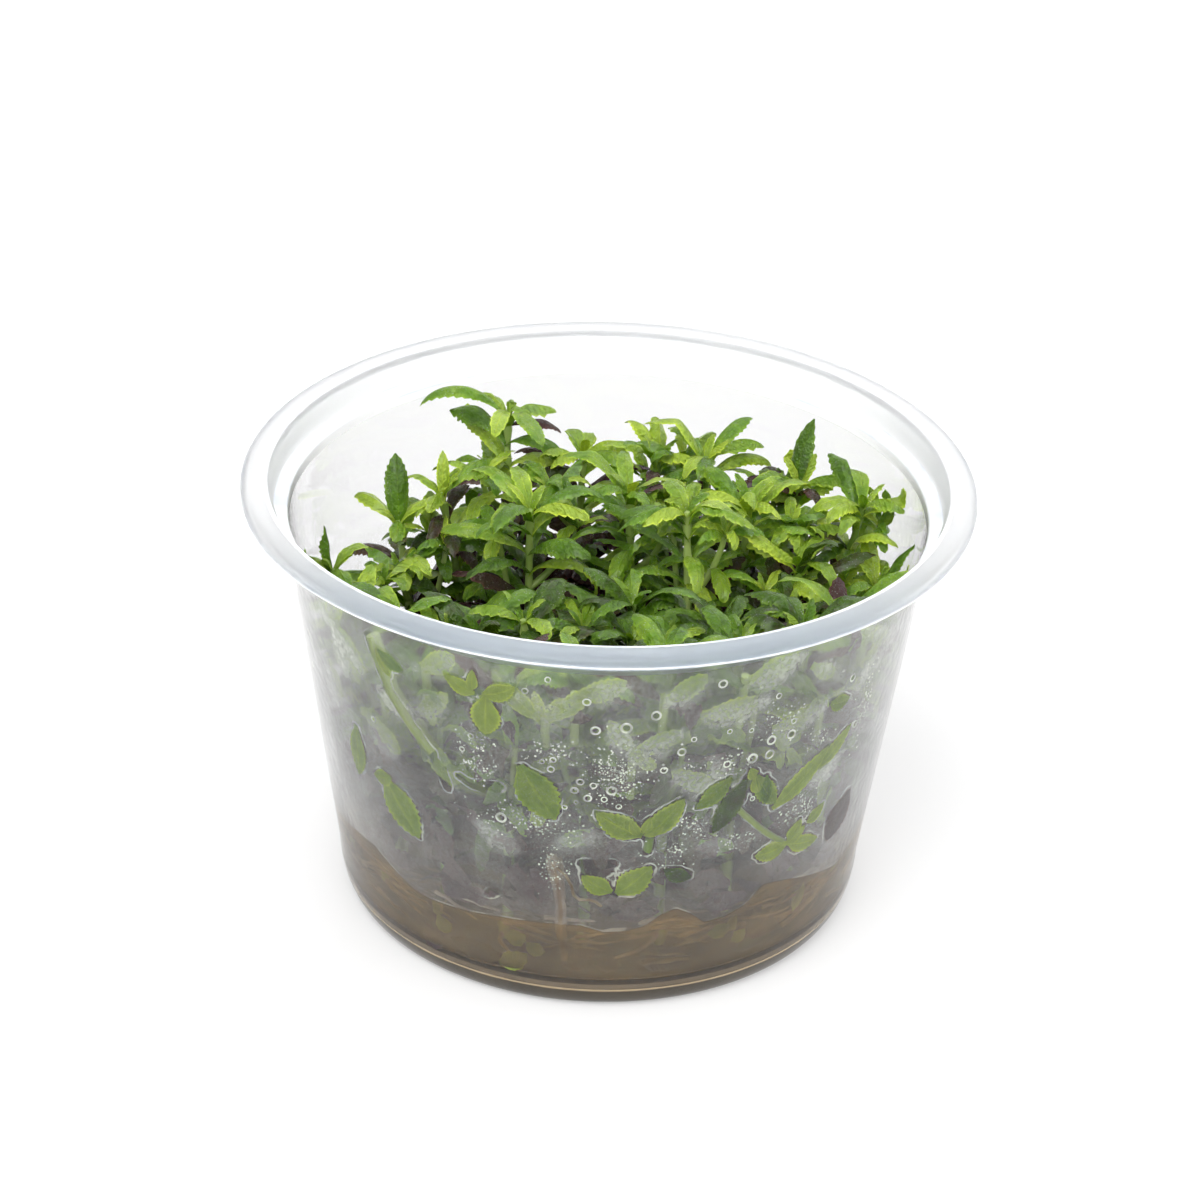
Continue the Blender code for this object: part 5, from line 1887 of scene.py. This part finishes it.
class TubLook(bpy.types.PropertyGroup):
    """Sizes and colours of the tub and of the condensation on its wall."""

    segments: IntProperty(name="Segments", description="Faces round the tub", default=192, min=48, max=720)
    wall_colour: colour("Wall colour", "Tint of the plastic", (0.905, 0.903, 0.91))
    wall_clarity: factor("Wall clarity", "Share of light that passes the wall", 0.99)
    # Painted shade: the darker blue of the rim's front, standing in for the dark plants seen through it
    rim_front_shade_colour: colour("Rim colour", "Tint of the thick milky rim", (0.695, 0.756, 0.825))
    rim_clarity: factor("Rim clarity", "Share of light that passes the rim", 0.88)
    # Painted shade: dark brown of the foot, standing in for the shade under the gel
    foot_shade_colour: colour("Foot colour", "Tint of the foot below the gel", (0.05, 0.037, 0.02))
    # Painted highlight: the pale line where the floor meets the foot
    floor_line_highlight_colour: colour("Floor line", "Pale line where the floor ends", (0.46, 0.35, 0.21))
    # The condensation's white is tinted green, painted light picked up from the leaves
    fog_colour: colour("Fog colour", "Colour of the fine condensation", (0.93, 0.98, 0.88))
    fog_strength: factor("Fog strength", "How much the condensation veils", 0.055)
    fog_roughness: factor("Fog roughness", "How much the condensation blurs", 0.08)
    # Painted highlight along the edges of wet patches
    edge_highlight_strength: factor("Edge brightness", "Bright outline of wet patches", 0.62)


class GelLook(bpy.types.PropertyGroup):
    """Colours of the agar gel."""

    surface_colour: colour("Surface colour", "Tint of the gel's surface", (0.91, 0.64, 0.26))
    depth_colour: colour("Depth colour", "Colour that the gel lets pass", (0.68, 0.41, 0.09))
    density: amount("Density", "How fast the gel darkens with depth, per metre", 85.0)
    clarity: factor("Clarity", "Share of light that enters the gel", 0.82)


class PlantLook(bpy.types.PropertyGroup):
    """Colours of the plants."""

    old_colour: colour("Old leaf", "Colour of an old purple leaf", (0.085, 0.033, 0.037))
    brown_colour: colour("Brown leaf", "Colour of a leaf that turns brown", (0.07, 0.05, 0.025))
    deep_colour: colour("Deep green", "Colour of a shaded leaf", (0.06, 0.125, 0.012))
    green_colour: colour("Leaf green", "Colour of a grown leaf", (0.145, 0.3, 0.02))
    young_colour: colour("Young green", "Colour of a young leaf", (0.48, 0.65, 0.07))
    translucency: factor("Translucency", "Share of light that passes a leaf", 0.38)


class StageLook(bpy.types.PropertyGroup):
    """Light, floor and lens."""

    floor_colour: colour("Floor colour", "Colour of the floor", (0.6, 0.6, 0.6))
    floor_glow: amount("Floor glow", "Light of the light table", 0.335)
    surroundings: amount("Surroundings", "Brightness of the white surroundings", 0.52)
    key_strength: amount("Main light", "Extra brightness above and in front", 4.4)
    back_strength: amount("Back light", "Extra brightness above and behind", 1.2)
    front_strength: amount("Front light", "Extra brightness in front, low down", 0.9)
    side_strength: amount("Side light", "Extra brightness on the right", 1.0)
    focal_length: amount("Focal length", "Focal length in millimetres", 107.103, 10.0)


# Operators


class PLANTTUB_OT_tub(bpy.types.Operator):
    """Turn the clear tub with its milky rim"""

    bl_idname = "planttub.tub"
    bl_label = "Tub"

    def execute(self, context):
        build_tub(context.scene.planttub_tub)
        return {"FINISHED"}


class PLANTTUB_OT_gel(bpy.types.Operator):
    """Pour the agar gel"""

    bl_idname = "planttub.gel"
    bl_label = "Agar gel"

    def execute(self, context):
        build_gel(context.scene.planttub_gel)
        return {"FINISHED"}


class PLANTTUB_OT_roots(bpy.types.Operator):
    """Lay the roots and the bits of leaf into the gel"""

    bl_idname = "planttub.roots"
    bl_label = "Roots and bits"

    def execute(self, context):
        build_roots(context.scene.planttub_plants)
        return {"FINISHED"}


class PLANTTUB_OT_shoots(bpy.types.Operator):
    """Grow every shoot with its leaves and side branches"""

    bl_idname = "planttub.shoots"
    bl_label = "Shoots"

    def execute(self, context):
        build_shoots(context.scene.planttub_plants)
        return {"FINISHED"}


class PLANTTUB_OT_sprigs(bpy.types.Operator):
    """Stick leaves and stems to the wet wall"""

    bl_idname = "planttub.sprigs"
    bl_label = "Sprigs on the wall"

    def execute(self, context):
        build_stuck(context.scene.planttub_plants)
        return {"FINISHED"}


class PLANTTUB_OT_condensation(bpy.types.Operator):
    """Fog the wall and put drops on it"""

    bl_idname = "planttub.condensation"
    bl_label = "Condensation"

    def execute(self, context):
        build_film(context.scene.planttub_tub)
        build_drops()
        return {"FINISHED"}


class PLANTTUB_OT_stage(bpy.types.Operator):
    """Set the floor, the light and the camera"""

    bl_idname = "planttub.stage"
    bl_label = "Stage"

    def execute(self, context):
        build_stage(context.scene.planttub_stage)
        return {"FINISHED"}


class PLANTTUB_PT_panel(bpy.types.Panel):
    """Buttons and settings of the plant tub"""

    bl_label = "Plant tub"
    bl_idname = "PLANTTUB_PT_panel"
    bl_space_type = "VIEW_3D"
    bl_region_type = "UI"
    bl_category = "Plant tub"

    def draw(self, context):
        layout = self.layout
        for operator in OPERATORS:
            layout.operator(operator.bl_idname)
        for name, group in SETTINGS.items():
            box = layout.box()
            for key in group.__annotations__:
                box.prop(getattr(context.scene, name), key)


OPERATORS = (PLANTTUB_OT_tub, PLANTTUB_OT_gel, PLANTTUB_OT_roots, PLANTTUB_OT_shoots, PLANTTUB_OT_sprigs,
             PLANTTUB_OT_condensation, PLANTTUB_OT_stage)
SETTINGS = {"planttub_tub": TubLook, "planttub_gel": GelLook, "planttub_plants": PlantLook,
            "planttub_stage": StageLook}


def register():
    """Add the classes and the scene's settings."""
    for item in (*SETTINGS.values(), *OPERATORS, PLANTTUB_PT_panel):
        bpy.utils.register_class(item)
    for name, group in SETTINGS.items():
        setattr(bpy.types.Scene, name, PointerProperty(type=group))


def unregister():
    """Take the classes and settings out again."""
    for name in SETTINGS:
        delattr(bpy.types.Scene, name)
    for item in reversed((*SETTINGS.values(), *OPERATORS, PLANTTUB_PT_panel)):
        bpy.utils.unregister_class(item)


def main():
    """Build every piece."""
    register()
    bpy.ops.planttub.tub()
    bpy.ops.planttub.gel()
    bpy.ops.planttub.roots()
    bpy.ops.planttub.shoots()
    bpy.ops.planttub.sprigs()
    bpy.ops.planttub.condensation()
    bpy.ops.planttub.stage()


if __name__ == "__main__":
    main()
